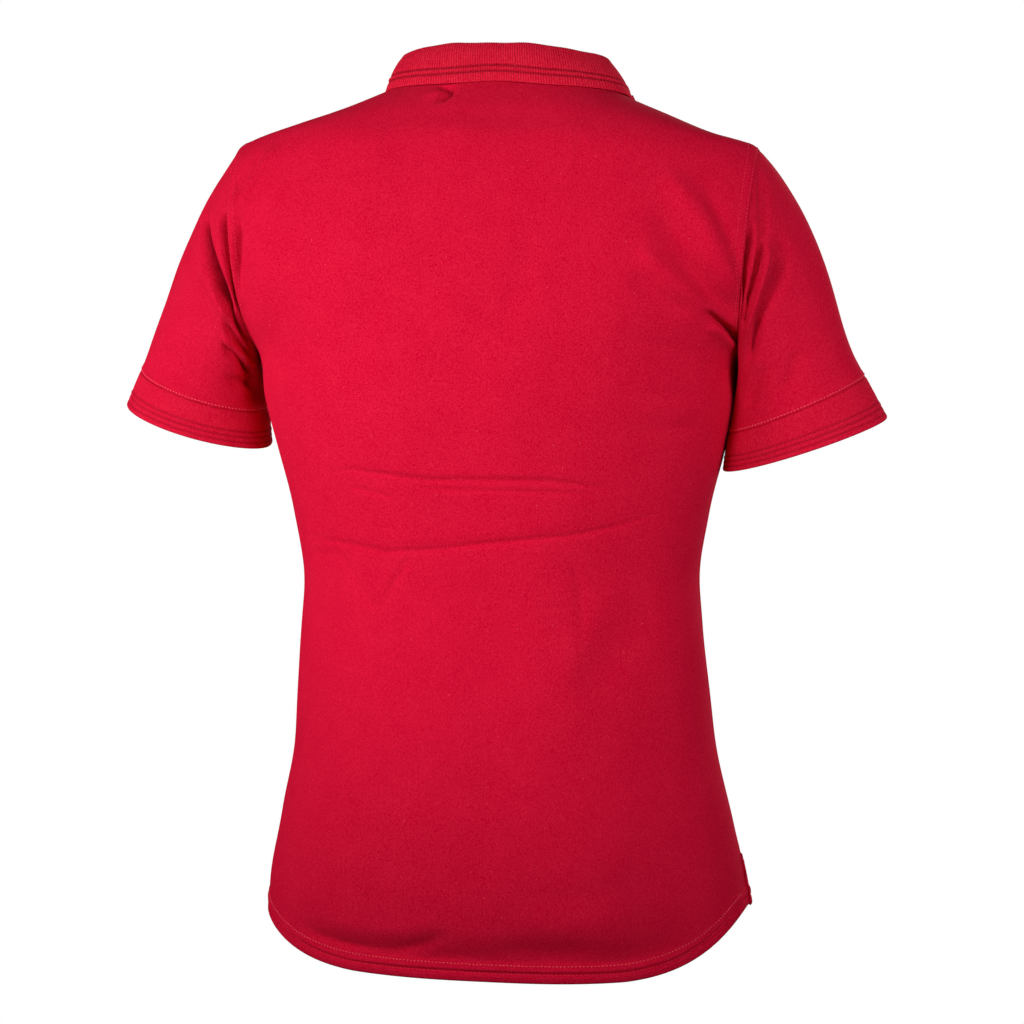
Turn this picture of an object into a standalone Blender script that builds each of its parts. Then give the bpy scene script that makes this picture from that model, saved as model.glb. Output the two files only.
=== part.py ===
"""A polo shirt in knitted cotton, filled out as when it is worn, with nobody in it.

Metres, +Z up. The front faces -Y and the wearer's left is +X. The origin lies midway between
the two high shoulder points, where the shirt hangs on its wearer.
"""

import math

import bpy
import numpy as np

# Walls, and the gap that parts two pieces where they are sewn together.
JERSEY = 0.0020
RIB = 0.0022
PLACKET = 0.0015
SEAM_GAP = 0.0003
COLLAR_GAP = 0.0005

# Neck and shoulder. Levels are heights before the shirt is tipped to hang down in front.
NECK_HALF_WIDTH = 0.078
BACK_NECK_LEVEL = -0.010
FRONT_NECK_LEVEL = -0.050
SHOULDER_TIP = 0.2135
TIP_LEVEL = -0.057
ARMPIT_LEVEL = -0.222
TIP_SLOPE = 0.25
TIP_FADES_TO = -0.250
TIP_FULL_FROM = -0.060
ROUNDNESS = 2.3
SHOULDER_DIP = 0.0040
DIP_AT = -0.180
DIP_SPAN = 0.034
DIP_FADES_TO = -0.200
DIP_FADE = 0.120

# Hem: lowest at the middle, curving up to the side vents.
BACK_HEM = -0.7205
FRONT_HEM = -0.692
VENT = 0.050
VENT_OPENS = 0.0030

# Placket and buttons.
SLIT_HALF_WIDTH = 0.012
OVER_HALF_WIDTH = 0.015
BUTTON_RADIUS = 0.00575
BUTTON_THICK = 0.0025
BUTTON_DROPS = (0.014, 0.066, 0.118)

# How many steps each grid takes.
ACROSS_INSIDE_NECK = (0.0, 0.154, 0.45, 0.73, 0.92, 1.0)
ACROSS_SHOULDER = 10
DOWN_BODY = 16
DOWN_ARMHOLE = 13
SLIT_STEPS = 11
ALONG_SLEEVE = 10


def columns(names, rows):
    """A table's columns as arrays, by name."""
    return dict(zip(names.split(), np.array(rows, float).T))


# One row for each level: half the chest's width, and how deep the back and the front bow out.
BODY = columns("level half_width back front", (
    (-0.720, 0.2005, 0.107, 0.118),
    (-0.690, 0.2000, 0.115, 0.120),
    (-0.660, 0.1975, 0.120, 0.121),
    (-0.600, 0.1865, 0.121, 0.121),
    (-0.540, 0.1745, 0.115, 0.120),
    (-0.480, 0.1690, 0.109, 0.119),
    (-0.440, 0.1655, 0.107, 0.119),
    (-0.400, 0.1635, 0.107, 0.119),
    (-0.350, 0.1715, 0.112, 0.120),
    (-0.300, 0.1845, 0.119, 0.123),
    (-0.260, 0.1940, 0.124, 0.124),
    (-0.222, 0.199, 0.126, 0.123),
    (-0.200, 0.216, 0.125, 0.121),
    (-0.170, 0.241, 0.122, 0.116),
    (-0.140, 0.253, 0.118, 0.109),
    (-0.100, 0.250, 0.107, 0.095),
    (-0.074, 0.234, 0.097, 0.082),
    (-0.057, 0.2135, 0.086, 0.073),
    (-0.050, 0.1925, 0.082, 0.069),
    (-0.040, 0.163, 0.075, 0.064),
    (-0.0275, 0.131, 0.065, 0.055),
    (-0.015, 0.1035, 0.054, 0.045),
    (0.000, 0.078, 0.040, 0.034),
))

# The armhole's edge: how far out it lies on the back and on the front.
ARMHOLE = columns("level back front", (
    (-0.222, 0.199, 0.199),
    (-0.200, 0.203, 0.198),
    (-0.180, 0.206, 0.197),
    (-0.150, 0.210, 0.198),
    (-0.120, 0.213, 0.202),
    (-0.090, 0.215, 0.208),
    (-0.072, 0.2148, 0.212),
    (-0.057, 0.2135, 0.2135),
))

# The hem's two ends, at the side seams: how high each is, and how late the hem curves up to it.
HEM_ENDS = columns("side level curve", (
    (-1, -0.664, 4.9),
    (1, -0.679, 4.9),
))

# The shirt hangs over to the wearer's right, most of all at the hem.
SWAY = columns("level shift", (
    (-0.720, -0.0185),
    (-0.600, -0.0145),
    (-0.500, -0.0095),
    (-0.400, -0.0055),
    (-0.317, -0.0030),
    (-0.240, 0.0),
    (-0.060, 0.0),
    (-0.010, -0.0030),
    (0.060, -0.0030),
))

# The largest folds. Each is a soft trough (depth below 0) or ridge from one point to another,
# and half_width is where it has faded to about a third.
FOLD = "x1 z1 x2 z2 depth half_width"
BACK_FOLDS = columns(FOLD, (
    (0.124, -0.325, 0.034, -0.325, -0.0024, 0.010),
    (0.034, -0.325, -0.125, -0.332, -0.0024, 0.010),
    (0.147, -0.370, 0.068, -0.381, -0.0026, 0.010),
    (0.068, -0.381, -0.081, -0.366, -0.0020, 0.010),
    (-0.081, -0.366, -0.154, -0.343, -0.0026, 0.010),
    (0.110, -0.350, -0.120, -0.350, 0.0015, 0.014),
    (0.115, -0.379, 0.077, -0.429, -0.0026, 0.012),
    (0.049, -0.386, 0.077, -0.429, -0.0024, 0.012),
    (-0.136, -0.424, -0.096, -0.489, -0.0024, 0.018),
    (-0.163, -0.100, -0.203, -0.165, 0.0045, 0.012),
    (-0.141, -0.162, -0.194, -0.207, 0.0045, 0.012),
    (-0.158, -0.141, -0.191, -0.191, -0.0045, 0.010),
    (-0.181, -0.098, -0.206, -0.147, -0.0040, 0.010),
    (-0.178, -0.192, -0.199, -0.210, -0.0035, 0.008),
    (0.178, -0.072, 0.205, -0.112, 0.0035, 0.011),
    (0.118, -0.687, 0.007, -0.690, -0.0025, 0.012),
))
FRONT_FOLDS = columns(FOLD, (
    (0.145, -0.330, 0.050, -0.352, -0.0026, 0.012),
    (-0.140, -0.322, -0.045, -0.345, -0.0026, 0.012),
    (0.120, -0.395, -0.020, -0.410, -0.0022, 0.013),
    (-0.150, -0.385, -0.060, -0.402, -0.0024, 0.012),
    (0.150, -0.110, 0.180, -0.180, 0.0040, 0.012),
    (-0.150, -0.105, -0.182, -0.185, 0.0040, 0.012),
    (0.110, -0.470, 0.060, -0.560, -0.0026, 0.018),
    (-0.090, -0.480, -0.120, -0.590, -0.0026, 0.020),
))

# Sleeves: side is +1 on the wearer's left. The outer and inner ends of the cuff's seam and of
# its open edge, how far the back of the opening hangs lower, and how strongly the sleeve sets
# out from the shoulder before it turns down.
SLEEVES = columns(
    "side seam_out_x seam_out_z seam_in_x seam_in_z "
    "edge_out_x edge_out_z edge_in_x edge_in_z drop bulge", (
        (1, 0.3050, -0.2355, 0.1965, -0.2690, 0.3165, -0.2650, 0.1925, -0.2990, 0.012, 0.215),
        (-1, 0.2995, -0.2365, 0.1935, -0.2820, 0.3185, -0.2690, 0.1905, -0.3130, 0.010, 0.207),
    ))
SLEEVE_HALF_DEPTH = 0.046
SLEEVE_FORWARD = -0.010
UNDERARM_BULGE = 0.060
CUFF_FLARE = 0.001

# Folds in the sleeves, in shares of the girth (from the shoulder tip round the back) and of the
# length, which are taken as these sizes for the folds' widths.
SLEEVE_GIRTH = 0.40
SLEEVE_LENGTH = 0.20
SLEEVE_FOLDS = columns("side around1 along1 around2 along2 depth half_width", (
    (1, 0.20, 0.15, 0.30, 0.75, -0.0040, 0.012),
    (1, 0.30, 0.10, 0.38, 0.60, 0.0040, 0.012),
    (1, 0.72, 0.15, 0.68, 0.80, -0.0035, 0.013),
    (-1, 0.18, 0.10, 0.26, 0.80, -0.0040, 0.012),
    (-1, 0.27, 0.10, 0.33, 0.75, 0.0045, 0.011),
    (-1, 0.34, 0.20, 0.38, 0.70, -0.0045, 0.011),
    (-1, 0.75, 0.15, 0.70, 0.80, -0.0035, 0.013),
))

# Lines knitted into the rib: distance from the edge and how deep each sinks.
CUFF_LINES = (0.0045, 0.0090, 0.0135)
COLLAR_LINES = (0.0080, 0.0120)
LINE_DEPTH = 0.0005
LINE_HALF_WIDTH = 0.0012

# Collar: round from the back (0) over the shoulder (1) to the centre front (2). The fold lies
# so far out and up from the neck seam, and the leaf reaches so far out, clear of what is below.
COLLAR = columns("round fold_out fold_up reach clear", (
    (0.0, 0.003, 0.0230, 0.0195, 0.0012),
    (0.5, 0.004, 0.0225, 0.0195, 0.0014),
    (1.0, 0.006, 0.0205, 0.0190, 0.0020),
    (1.5, 0.006, 0.0230, 0.0185, 0.0022),
    (2.0, 0.004, 0.0260, 0.0150, 0.0030),
))
COLLAR_OPENS = 0.0016
FOLD_AT = 0.026
FOLD_SPAN = 0.005
FOLD_RADIUS = 0.0028
STAND_FOOT = 0.004
LEAF_CROWN = 0.0015
POINT_SPREAD = 0.030


def smooth(at, xs, ys):
    """A curve through the points: a cubic on each step, with slopes taken from the neighbours."""
    slopes = np.gradient(ys, xs)
    at = np.clip(at, xs[0], xs[-1])
    i = np.clip(np.searchsorted(xs, at) - 1, 0, len(xs) - 2)
    step = xs[i + 1] - xs[i]
    t = (at - xs[i]) / step
    return ((1 + 2 * t) * (1 - t) ** 2 * ys[i] + t * (1 - t) ** 2 * step * slopes[i]
            + t * t * (3 - 2 * t) * ys[i + 1] + t * t * (t - 1) * step * slopes[i + 1])


def ease(t):
    """0 below 0, 1 above 1, and a smooth S between."""
    t = np.clip(t, 0.0, 1.0)
    return t * t * (3 - 2 * t)


def unit(vectors):
    return vectors / np.linalg.norm(vectors, axis=-1, keepdims=True)


def half_width(level):
    return smooth(level, BODY["level"], BODY["half_width"])


def tipped(x, y, level):
    """The point in place: the upper body is tipped down in front, and the whole sways a little.

    The wearer's right shoulder dips between the neck and the tip, as a bell of x.
    """
    tip = TIP_SLOPE * ease((level - TIP_FADES_TO) / (TIP_FULL_FROM - TIP_FADES_TO))
    dip = SHOULDER_DIP * np.exp(-((x - DIP_AT) / DIP_SPAN) ** 2) * ease((level - DIP_FADES_TO) / DIP_FADE)
    z = level + tip * y - dip
    return np.stack([x + smooth(level, SWAY["level"], SWAY["shift"]), y, z], axis=-1)


def body_point(face, x, level):
    """On the body's oval: y = depth * (1 - |x / half width| ** roundness) ** 1/2."""
    depth = smooth(level, BODY["level"], BODY[face])
    across = np.clip(np.abs(x) / half_width(level), 0.0, 1.0)
    sign = 1 if face == "back" else -1
    return tipped(x, sign * depth * np.sqrt(1 - across ** ROUNDNESS), level)


def neck_level(face, x):
    """The neckline's level: lowest at the middle, up to 0 at the high shoulder point."""
    share = np.clip(np.abs(x) / NECK_HALF_WIDTH, 0.0, 1.0)
    if face == "back":
        return BACK_NECK_LEVEL * np.sqrt(1 - share ** 2)
    return FRONT_NECK_LEVEL * (1 - share ** 1.6) ** 0.8


def top_level(face, x):
    """Where a panel ends above: at the neckline, or past it at the shoulder seam's ridge."""
    levels = np.linspace(0.0, TIP_LEVEL, 200)
    ridge = np.interp(np.abs(x), half_width(levels), levels)
    return np.where(np.abs(x) <= NECK_HALF_WIDTH + 1e-9, neck_level(face, x), ridge)


def column_x(face, across, level):
    """A column's x at a level. across runs from -1 to 1 between the side edges of the panel."""
    edge = np.where(level > TIP_LEVEL, SHOULDER_TIP, smooth(level, ARMHOLE["level"], ARMHOLE[face]))
    edge = np.where(level < ARMPIT_LEVEL, half_width(level), edge)
    even = ease((level - ARMPIT_LEVEL) / 0.10)
    spread = edge * ((1 - even) * np.sin(across * math.pi / 2) + even * across)
    plain = SHOULDER_TIP * across
    neck = NECK_HALF_WIDTH / SHOULDER_TIP
    return plain + (spread - plain) * np.clip(np.abs(across) / neck, 0.0, 1.0) ** 2


def hem_level(face, across):
    middle = BACK_HEM if face == "back" else FRONT_HEM
    share = np.sin(across * math.pi / 2)
    end = (share > 0).astype(int)
    return middle + (HEM_ENDS["level"][end] - middle) * np.abs(share) ** HEM_ENDS["curve"][end]


def panel_points(face, across, rows):
    """The panel's outside. rows runs 0 at the hem, 1 at the armpit's level, 2 at the top.

    Above the armpit each column is cut into steps of equal length, so that the cloth which
    turns over the shoulder gets its share of them.
    """
    across = np.asarray(across, float)
    rows = np.asarray(rows, float)
    low = rows[rows < 1.0][:, None]
    hem = hem_level(face, across)
    level = hem + (ARMPIT_LEVEL - hem) * low
    lower = body_point(face, column_x(face, across, level), level)
    top = top_level(face, column_x(face, across, 0.0 * across))
    fine = np.linspace(1.0, 0.0, 241)[:, None] ** 2
    level = top + (ARMPIT_LEVEL - top) * fine
    path = body_point(face, column_x(face, across, level), level)
    steps = np.linalg.norm(np.diff(path, axis=0), axis=-1)
    run = np.vstack([np.zeros(len(across)), np.cumsum(steps, axis=0)])
    want = rows[rows >= 1.0] - 1.0
    upper = np.empty((len(want), len(across), 3))
    for j in range(len(across)):
        for axis in range(3):
            upper[:, j, axis] = np.interp(want * run[-1, j], run[:, j], path[:, j, axis])
    return np.concatenate([lower, upper])


def grid_normals(points, outward, closed=False):
    """Unit normals of a grid of points, on the side that outward says for its middle."""
    if closed:
        down = np.gradient(points, axis=0)
        round_ = np.roll(points, -1, axis=1) - np.roll(points, 1, axis=1)
    else:
        down = np.gradient(points, axis=0)
        round_ = np.gradient(points, axis=1)
    normals = unit(np.cross(down, round_))
    middle = normals[normals.shape[0] // 2, normals.shape[1] // 2]
    return normals if np.dot(middle, outward) > 0 else -normals


def along_fold(u, v, u1, v1, u2, v2, width):
    """How strongly a fold is felt: a bell across its line, faded off at both ends."""
    length = math.hypot(u2 - u1, v2 - v1)
    along = ((u - u1) * (u2 - u1) + (v - v1) * (v2 - v1)) / length
    beside = ((u - u1) * (v2 - v1) - (v - v1) * (u2 - u1)) / length
    over = np.maximum(0.0, np.abs(along - length / 2) - length / 2)
    return np.exp(-(beside / width) ** 2 - (over / (1.6 * width)) ** 2)


def fold_height(folds, x, z):
    height = np.zeros_like(x)
    for x1, z1, x2, z2, depth, width in zip(*(folds[name] for name in FOLD.split())):
        height += depth * along_fold(x, z, x1, z1, x2, z2, width)
    return height


def across_steps():
    neck = NECK_HALF_WIDTH / SHOULDER_TIP
    inside = neck * np.array(ACROSS_INSIDE_NECK)
    outside = neck + (1 - neck) * np.arange(1, ACROSS_SHOULDER + 1) / ACROSS_SHOULDER
    half = np.concatenate([inside, outside])
    return np.concatenate([-half[:0:-1], half])


def row_steps():
    """Rows from hem to top, closer together about the waist, where the folds are."""
    fine = np.linspace(0.0, 1.0, 400)
    level = BACK_HEM + (ARMPIT_LEVEL - BACK_HEM) * fine
    crowd = np.cumsum(1.0 + 1.8 * np.exp(-((level + 0.35) / 0.06) ** 2))
    body = np.interp(np.arange(DOWN_BODY) / DOWN_BODY, (crowd - crowd[0]) / (crowd[-1] - crowd[0]), fine)
    return np.concatenate([body, 1.0 + np.arange(DOWN_ARMHOLE + 1) / DOWN_ARMHOLE])


def panel(face):
    """The panel's outside with its folds, and its normals."""
    across = across_steps()
    rows = row_steps()
    points = panel_points(face, across, rows)
    normals = grid_normals(points, (0, 1 if face == "back" else -1, 0))
    on_seam = panel_seams(len(rows), len(across))
    normals[on_seam, 1] = 0.0
    normals = unit(normals)
    folds = BACK_FOLDS if face == "back" else FRONT_FOLDS
    fade = ease((1 - np.abs(across)) / 0.16)[None, :] * ease((2.0 - rows) / 0.25)[:, None]
    height = fold_height(folds, points[..., 0], points[..., 2]) * fade
    return points + height[..., None] * normals, normals


def panel_seams(rows, across):
    """True on the side seams and the shoulder seams, where the two panels meet at y = 0."""
    on_seam = np.zeros((rows, across), bool)
    on_seam[:DOWN_BODY + 1, [0, -1]] = True
    inside = len(ACROSS_INSIDE_NECK) - 1
    middle = across // 2
    on_seam[-1, :middle - inside + 1] = True
    on_seam[-1, middle + inside:] = True
    return on_seam


def armhole(side, panels):
    """The armhole's loop from the shoulder tip down the back and up the front.

    It gives the points, and the way across the seam out of the body.
    """
    edge = {}
    for face, (points, _) in panels.items():
        last, before = (-1, -2) if side > 0 else (0, 1)
        edge[face] = (points[DOWN_BODY:, last], unit(points[DOWN_BODY:, last] - points[DOWN_BODY:, before]))
    loop = np.concatenate([edge["back"][0][::-1], edge["front"][0][1:-1]])
    out = np.concatenate([edge["back"][1][::-1], edge["front"][1][1:-1]])
    for k, row in ((0, -1), (DOWN_ARMHOLE, 0)):
        out[k] = unit(edge["back"][1][row] + edge["front"][1][row])
    return loop, out


def loop_fraction(loop):
    """How far round each point lies: 0 at the shoulder tip, 1/2 at the armpit."""
    steps = np.linalg.norm(np.roll(loop, -1, axis=0) - loop, axis=-1)
    run = np.concatenate([[0.0], np.cumsum(steps)])
    half = len(loop) // 2
    first = 0.5 * run[:half + 1] / run[half]
    second = 0.5 + 0.5 * (run[half:-1] - run[half]) / (run[-1] - run[half])
    return np.concatenate([first, second[1:]])


def sleeve_row(side):
    row = int(np.flatnonzero(SLEEVES["side"] == side)[0])
    return {name: values[row] for name, values in SLEEVES.items()}


def cuff_loop(size, end, fraction, grow=0.0):
    """An oval through the outer and the inner end, with its back hanging lower."""
    side = size["side"]
    outer = np.array([side * size[end + "_out_x"], SLEEVE_FORWARD, size[end + "_out_z"]])
    inner = np.array([side * size[end + "_in_x"], SLEEVE_FORWARD, size[end + "_in_z"]])
    middle = (outer + inner) / 2
    wide = (outer - inner) / 2
    deep = np.array([0.0, SLEEVE_HALF_DEPTH + grow, -size["drop"]])
    turn = 2 * math.pi * fraction[:, None]
    return middle + wide * np.cos(turn) + deep * np.sin(turn)


def sleeve_points(side, loop, out, along):
    """The sleeve from the armhole (0) to the cuff's seam (1), and the cuff to its edge (2).

    Each line down the sleeve is a cubic that leaves the armhole across the seam and runs
    into the cuff in the cuff's own direction.
    """
    size = sleeve_row(side)
    fraction = loop_fraction(loop)
    seam = cuff_loop(size, "seam", fraction)
    edge = cuff_loop(size, "edge", fraction, CUFF_FLARE)
    down = edge - seam
    axis = unit(seam.mean(axis=0) - loop.mean(axis=0))
    under = (0.5 - 0.5 * np.cos(2 * math.pi * fraction))[:, None]
    start = unit(out * (0.75 - 0.5 * under) + axis * (0.45 + 0.4 * under))
    start = start * (size["bulge"] + (UNDERARM_BULGE - size["bulge"]) * under)
    arrive = unit(down) * (0.18 - 0.10 * under)
    v = np.minimum(along, 1.0)[:, None, None]
    body = ((1 + 2 * v) * (1 - v) ** 2 * loop + v * (1 - v) ** 2 * start
            + v * v * (3 - 2 * v) * seam + v * v * (v - 1) * arrive)
    past = np.maximum(along - 1.0, 0.0)[:, None, None]
    return body + past * down, start


def sleeve(side, panels):
    """Sleeve and cuff as one tube of points with their normals, and the armhole's frame."""
    loop, out = armhole(side, panels)
    fraction = loop_fraction(loop)
    size = sleeve_row(side)
    down = cuff_loop(size, "edge", fraction, CUFF_FLARE) - cuff_loop(size, "seam", fraction)
    cuff = np.linalg.norm(down, axis=-1).mean()
    lines = [cuff - at + k * LINE_HALF_WIDTH for at in CUFF_LINES[::-1] for k in (-1, 0, 1)]
    rib = 1.0 + np.array([0.0] + lines + [cuff]) / cuff
    along = np.concatenate([np.linspace(0.0, 1.0, ALONG_SLEEVE + 1), rib])
    points, start = sleeve_points(side, loop, out, along)
    outward = points[5, 0] - points[5].mean(axis=0)
    normals = grid_normals(points, (side, 0, 0), closed=True)
    if np.dot(normals[5, 0], outward) < 0:
        normals = -normals
    across = unit(unit(out) + unit(start))
    round_ = unit(np.roll(loop, -1, axis=0) - np.roll(loop, 1, axis=0))
    across = unit(across - (across * round_).sum(axis=-1, keepdims=True) * round_)
    shared = unit(np.cross(round_, across))
    shared[[0, DOWN_ARMHOLE], 1] = 0.0
    shared = unit(shared)
    if np.dot(shared[0], (0, 0, 1)) < 0:
        shared = -shared
    normals[0] = shared
    fade = ease(along / 0.12) * ease((1.0 - along) / 0.15)
    height = np.zeros(points.shape[:2])
    u = fraction[None, :] * SLEEVE_GIRTH
    v = along[:, None] * SLEEVE_LENGTH
    for turned, u1, v1, u2, v2, depth, width in zip(*SLEEVE_FOLDS.values()):
        if turned == side:
            height += depth * along_fold(u, v, u1 * SLEEVE_GIRTH, v1 * SLEEVE_LENGTH,
                                         u2 * SLEEVE_GIRTH, v2 * SLEEVE_LENGTH, width)
    points = points + (height * fade[:, None])[..., None] * normals
    points[0] = loop + SEAM_GAP / 2 * across
    points[ALONG_SLEEVE] -= SEAM_GAP / 2 * unit(down)
    points[ALONG_SLEEVE + 1] += SEAM_GAP / 2 * unit(down)
    return points, normals, across, shared


def solid(name, outer, inner, collection, material, keep=None, closed=False):
    """A closed wall between two like grids: faces on both sides and a rim round each free edge.

    Each rim's face is split along its shorter diagonal, so that the two rims of a seam match.
    """
    rows, across = outer.shape[:2]
    cells = across if closed else across - 1
    if keep is None:
        keep = np.ones((rows - 1, cells), bool)
    number = np.arange(rows * across).reshape(rows, across)
    offset = rows * across
    faces, rims, triangles, volume = [], [], [], 0.0
    for i, j in zip(*np.nonzero(keep)):
        k = (j + 1) % across
        a, b, c, d = number[i, j], number[i, k], number[i + 1, k], number[i + 1, j]
        faces.append((a, b, c, d))
        faces.append((d + offset, c + offset, b + offset, a + offset))
        sides = (((i - 1, j), a, b), ((i, j + 1), b, c), ((i + 1, j), c, d), ((i, j - 1), d, a))
        for (row, cell), start, end in sides:
            if closed:
                cell %= cells
            inside = 0 <= row < rows - 1 and 0 <= cell < cells and keep[row, cell]
            if not inside:
                rims.append((end, start, start + offset, end + offset))
    points = np.concatenate([outer.reshape(-1, 3), inner.reshape(-1, 3)])
    for a, b, c, d in rims:
        if np.linalg.norm(points[a] - points[c]) < np.linalg.norm(points[b] - points[d]):
            triangles += [(a, b, c), (a, c, d)]
        else:
            triangles += [(a, b, d), (b, c, d)]
    for a, b, c, d in faces:
        volume += points[a] @ (np.cross(points[b], points[c]) + np.cross(points[c], points[d]))
    faces = [face if volume > 0 else face[::-1] for face in faces + triangles]
    used = np.unique(np.concatenate(faces))
    place = np.zeros(len(points), int)
    place[used] = np.arange(len(used))
    points = points[used]
    faces = [place[list(face)].tolist() for face in faces]
    mesh = bpy.data.meshes.new(name)
    mesh.from_pydata(points.tolist(), [], faces)
    mesh.shade_smooth()
    mesh.set_sharp_from_angle(angle=math.radians(40))
    mesh.materials.append(material)
    made = bpy.data.objects.new(name, mesh)
    collection.objects.link(made)
    return made


def finish(name, colour, roughness):
    """A material with the piece's own colour, as linear light."""
    material = bpy.data.materials.new(name)
    material.use_nodes = True
    shader = material.node_tree.nodes["Principled BSDF"]
    shader.inputs["Base Color"].default_value = (*colour, 1.0)
    shader.inputs["Roughness"].default_value = roughness
    shader.inputs["Metallic"].default_value = 0.0
    return material


def sewn_edges(points, normals, face, frames):
    """Draws the panel's edges back by half the seam's gap, and sets the normals there."""
    sign = 1 if face == "back" else -1
    on_seam = panel_seams(*points.shape[:2])
    points = points.copy()
    normals = normals.copy()
    for side, (across, shared) in frames.items():
        edge = -1 if side > 0 else 0
        order = np.arange(DOWN_ARMHOLE, -1, -1)
        if face == "front":
            order = (DOWN_ARMHOLE + np.arange(DOWN_ARMHOLE + 1)) % (2 * DOWN_ARMHOLE)
        points[DOWN_BODY:, edge] -= across[order] * SEAM_GAP / 2
        normals[DOWN_BODY:, edge] = shared[order]
    points[on_seam, 1] = sign * SEAM_GAP / 2
    open_by = np.clip((HEM_ENDS["level"] + VENT - points[:, [0, -1], 2]) / VENT, 0.0, 1.0)
    points[:, [0, -1], 1] += sign * VENT_OPENS * open_by
    return points, normals


def slit_cells(rows, across):
    """Every cell of the front but those in the slit."""
    keep = np.ones((rows - 1, across - 1), bool)
    middle = across // 2
    keep[rows - 1 - SLIT_STEPS:, middle - 1:middle + 1] = False
    return keep


def placket_grid(half, steps, across):
    """Points on the front's outside, on the front's own rows, from the slit's foot to the neck."""
    rows = 2.0 - np.asarray(steps)[::-1] / DOWN_ARMHOLE
    share = np.linspace(-1.0, 1.0, across) * half / SHOULDER_TIP
    points = panel_points("front", share, rows)
    return points, grid_normals(points, (0, -1, 0))


def add_placket(collection):
    gap = SEAM_GAP
    down = np.arange(SLIT_STEPS + 1)
    points, normals = placket_grid(SLIT_HALF_WIDTH - gap, down, 3)
    points[0, :, 2] += gap
    solid("placket_under", points, points - JERSEY * normals, collection,
          finish("placket_under", (0.54, 0.006, 0.034), 0.85))
    points, normals = placket_grid(OVER_HALF_WIDTH, [*down, SLIT_STEPS + 0.5], 5)
    low = points + gap * normals
    solid("placket_over", low + PLACKET * normals, low, collection,
          finish("placket_over", (0.54, 0.006, 0.034), 0.85))


def add_buttons(collection):
    """Discs on the outer strip, each turned to lie on it."""
    material = finish("button", (0.42, 0.008, 0.030), 0.35)
    points, normals = placket_grid(OVER_HALF_WIDTH, np.arange(SLIT_STEPS + 1), 3)
    line = points[::-1, 1]
    run = np.concatenate([[0.0], np.cumsum(np.linalg.norm(np.diff(line, axis=0), axis=-1))])
    for number, drop in enumerate(BUTTON_DROPS, 1):
        place = np.array([np.interp(drop, run, line[:, axis]) for axis in range(3)])
        normal = unit(np.array([np.interp(drop, run, normals[::-1, 1, axis]) for axis in range(3)]))
        place = place + normal * (SEAM_GAP + PLACKET + SEAM_GAP + BUTTON_THICK / 2)
        bpy.ops.mesh.primitive_cylinder_add(vertices=20, radius=BUTTON_RADIUS, depth=BUTTON_THICK)
        button = bpy.context.object
        button.name = f"button_{number}"
        button.data.name = button.name
        button.location = place
        button.rotation_euler = (math.atan2(math.hypot(normal[0], normal[1]), normal[2]), 0.0,
                                 math.atan2(normal[1], normal[0]) + math.pi / 2)
        bevel = button.modifiers.new("edge", "BEVEL")
        bevel.width = 0.0006
        bevel.segments = 2
        bevel.limit_method = "ANGLE"
        button.data.materials.append(material)
        for home in list(button.users_collection):
            home.objects.unlink(button)
        collection.objects.link(button)


def body_height(x, y):
    """The height of the cloth under a point near the neck, and the normal there."""
    levels = np.linspace(0.0, -0.20, 400)
    face = "back" if y >= 0 else "front"
    rows = body_point(face, np.full_like(levels, x), levels)
    out = np.abs(rows[:, 1])
    reached = np.interp(abs(y), out[half_width(levels) >= abs(x)], levels[half_width(levels) >= abs(x)])
    step = 0.0005
    spot = body_point(face, np.array(x), np.array(reached))
    beside = body_point(face, np.array(x + step), np.array(reached))
    below = body_point(face, np.array(x), np.array(reached - step))
    normal = unit(np.cross(beside - spot, below - spot))
    return spot, normal if normal[2] > 0 else -normal


def neckline(panels):
    """The neck seam from the wearer's right front, round the back, to the left front.

    It gives the panels' outside edge there, and their normals.
    """
    inside = len(ACROSS_INSIDE_NECK) - 1
    middle = len(across_steps()) // 2
    span = slice(middle - inside, middle + inside + 1)
    rows = {}
    for face, (points, normals) in panels.items():
        rows[face] = {"edge": points[-1, span], "normal": normals[-1, span]}
    return {name: np.concatenate([rows["front"][name][:inside + 1][::-1],
                                  rows["back"][name][1:-1],
                                  rows["front"][name][inside:][::-1]]) for name in ("edge", "normal")}


def resample(values, at, straight=False):
    """Values along a row of stations at finer ones, on a smooth curve or on straight steps."""
    stations = np.arange(len(values), dtype=float)
    if straight:
        return np.stack([np.interp(at, stations, values[:, k]) for k in range(values.shape[1])], axis=-1)
    return np.stack([smooth(at, stations, values[:, k]) for k in range(values.shape[1])], axis=-1)


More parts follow.
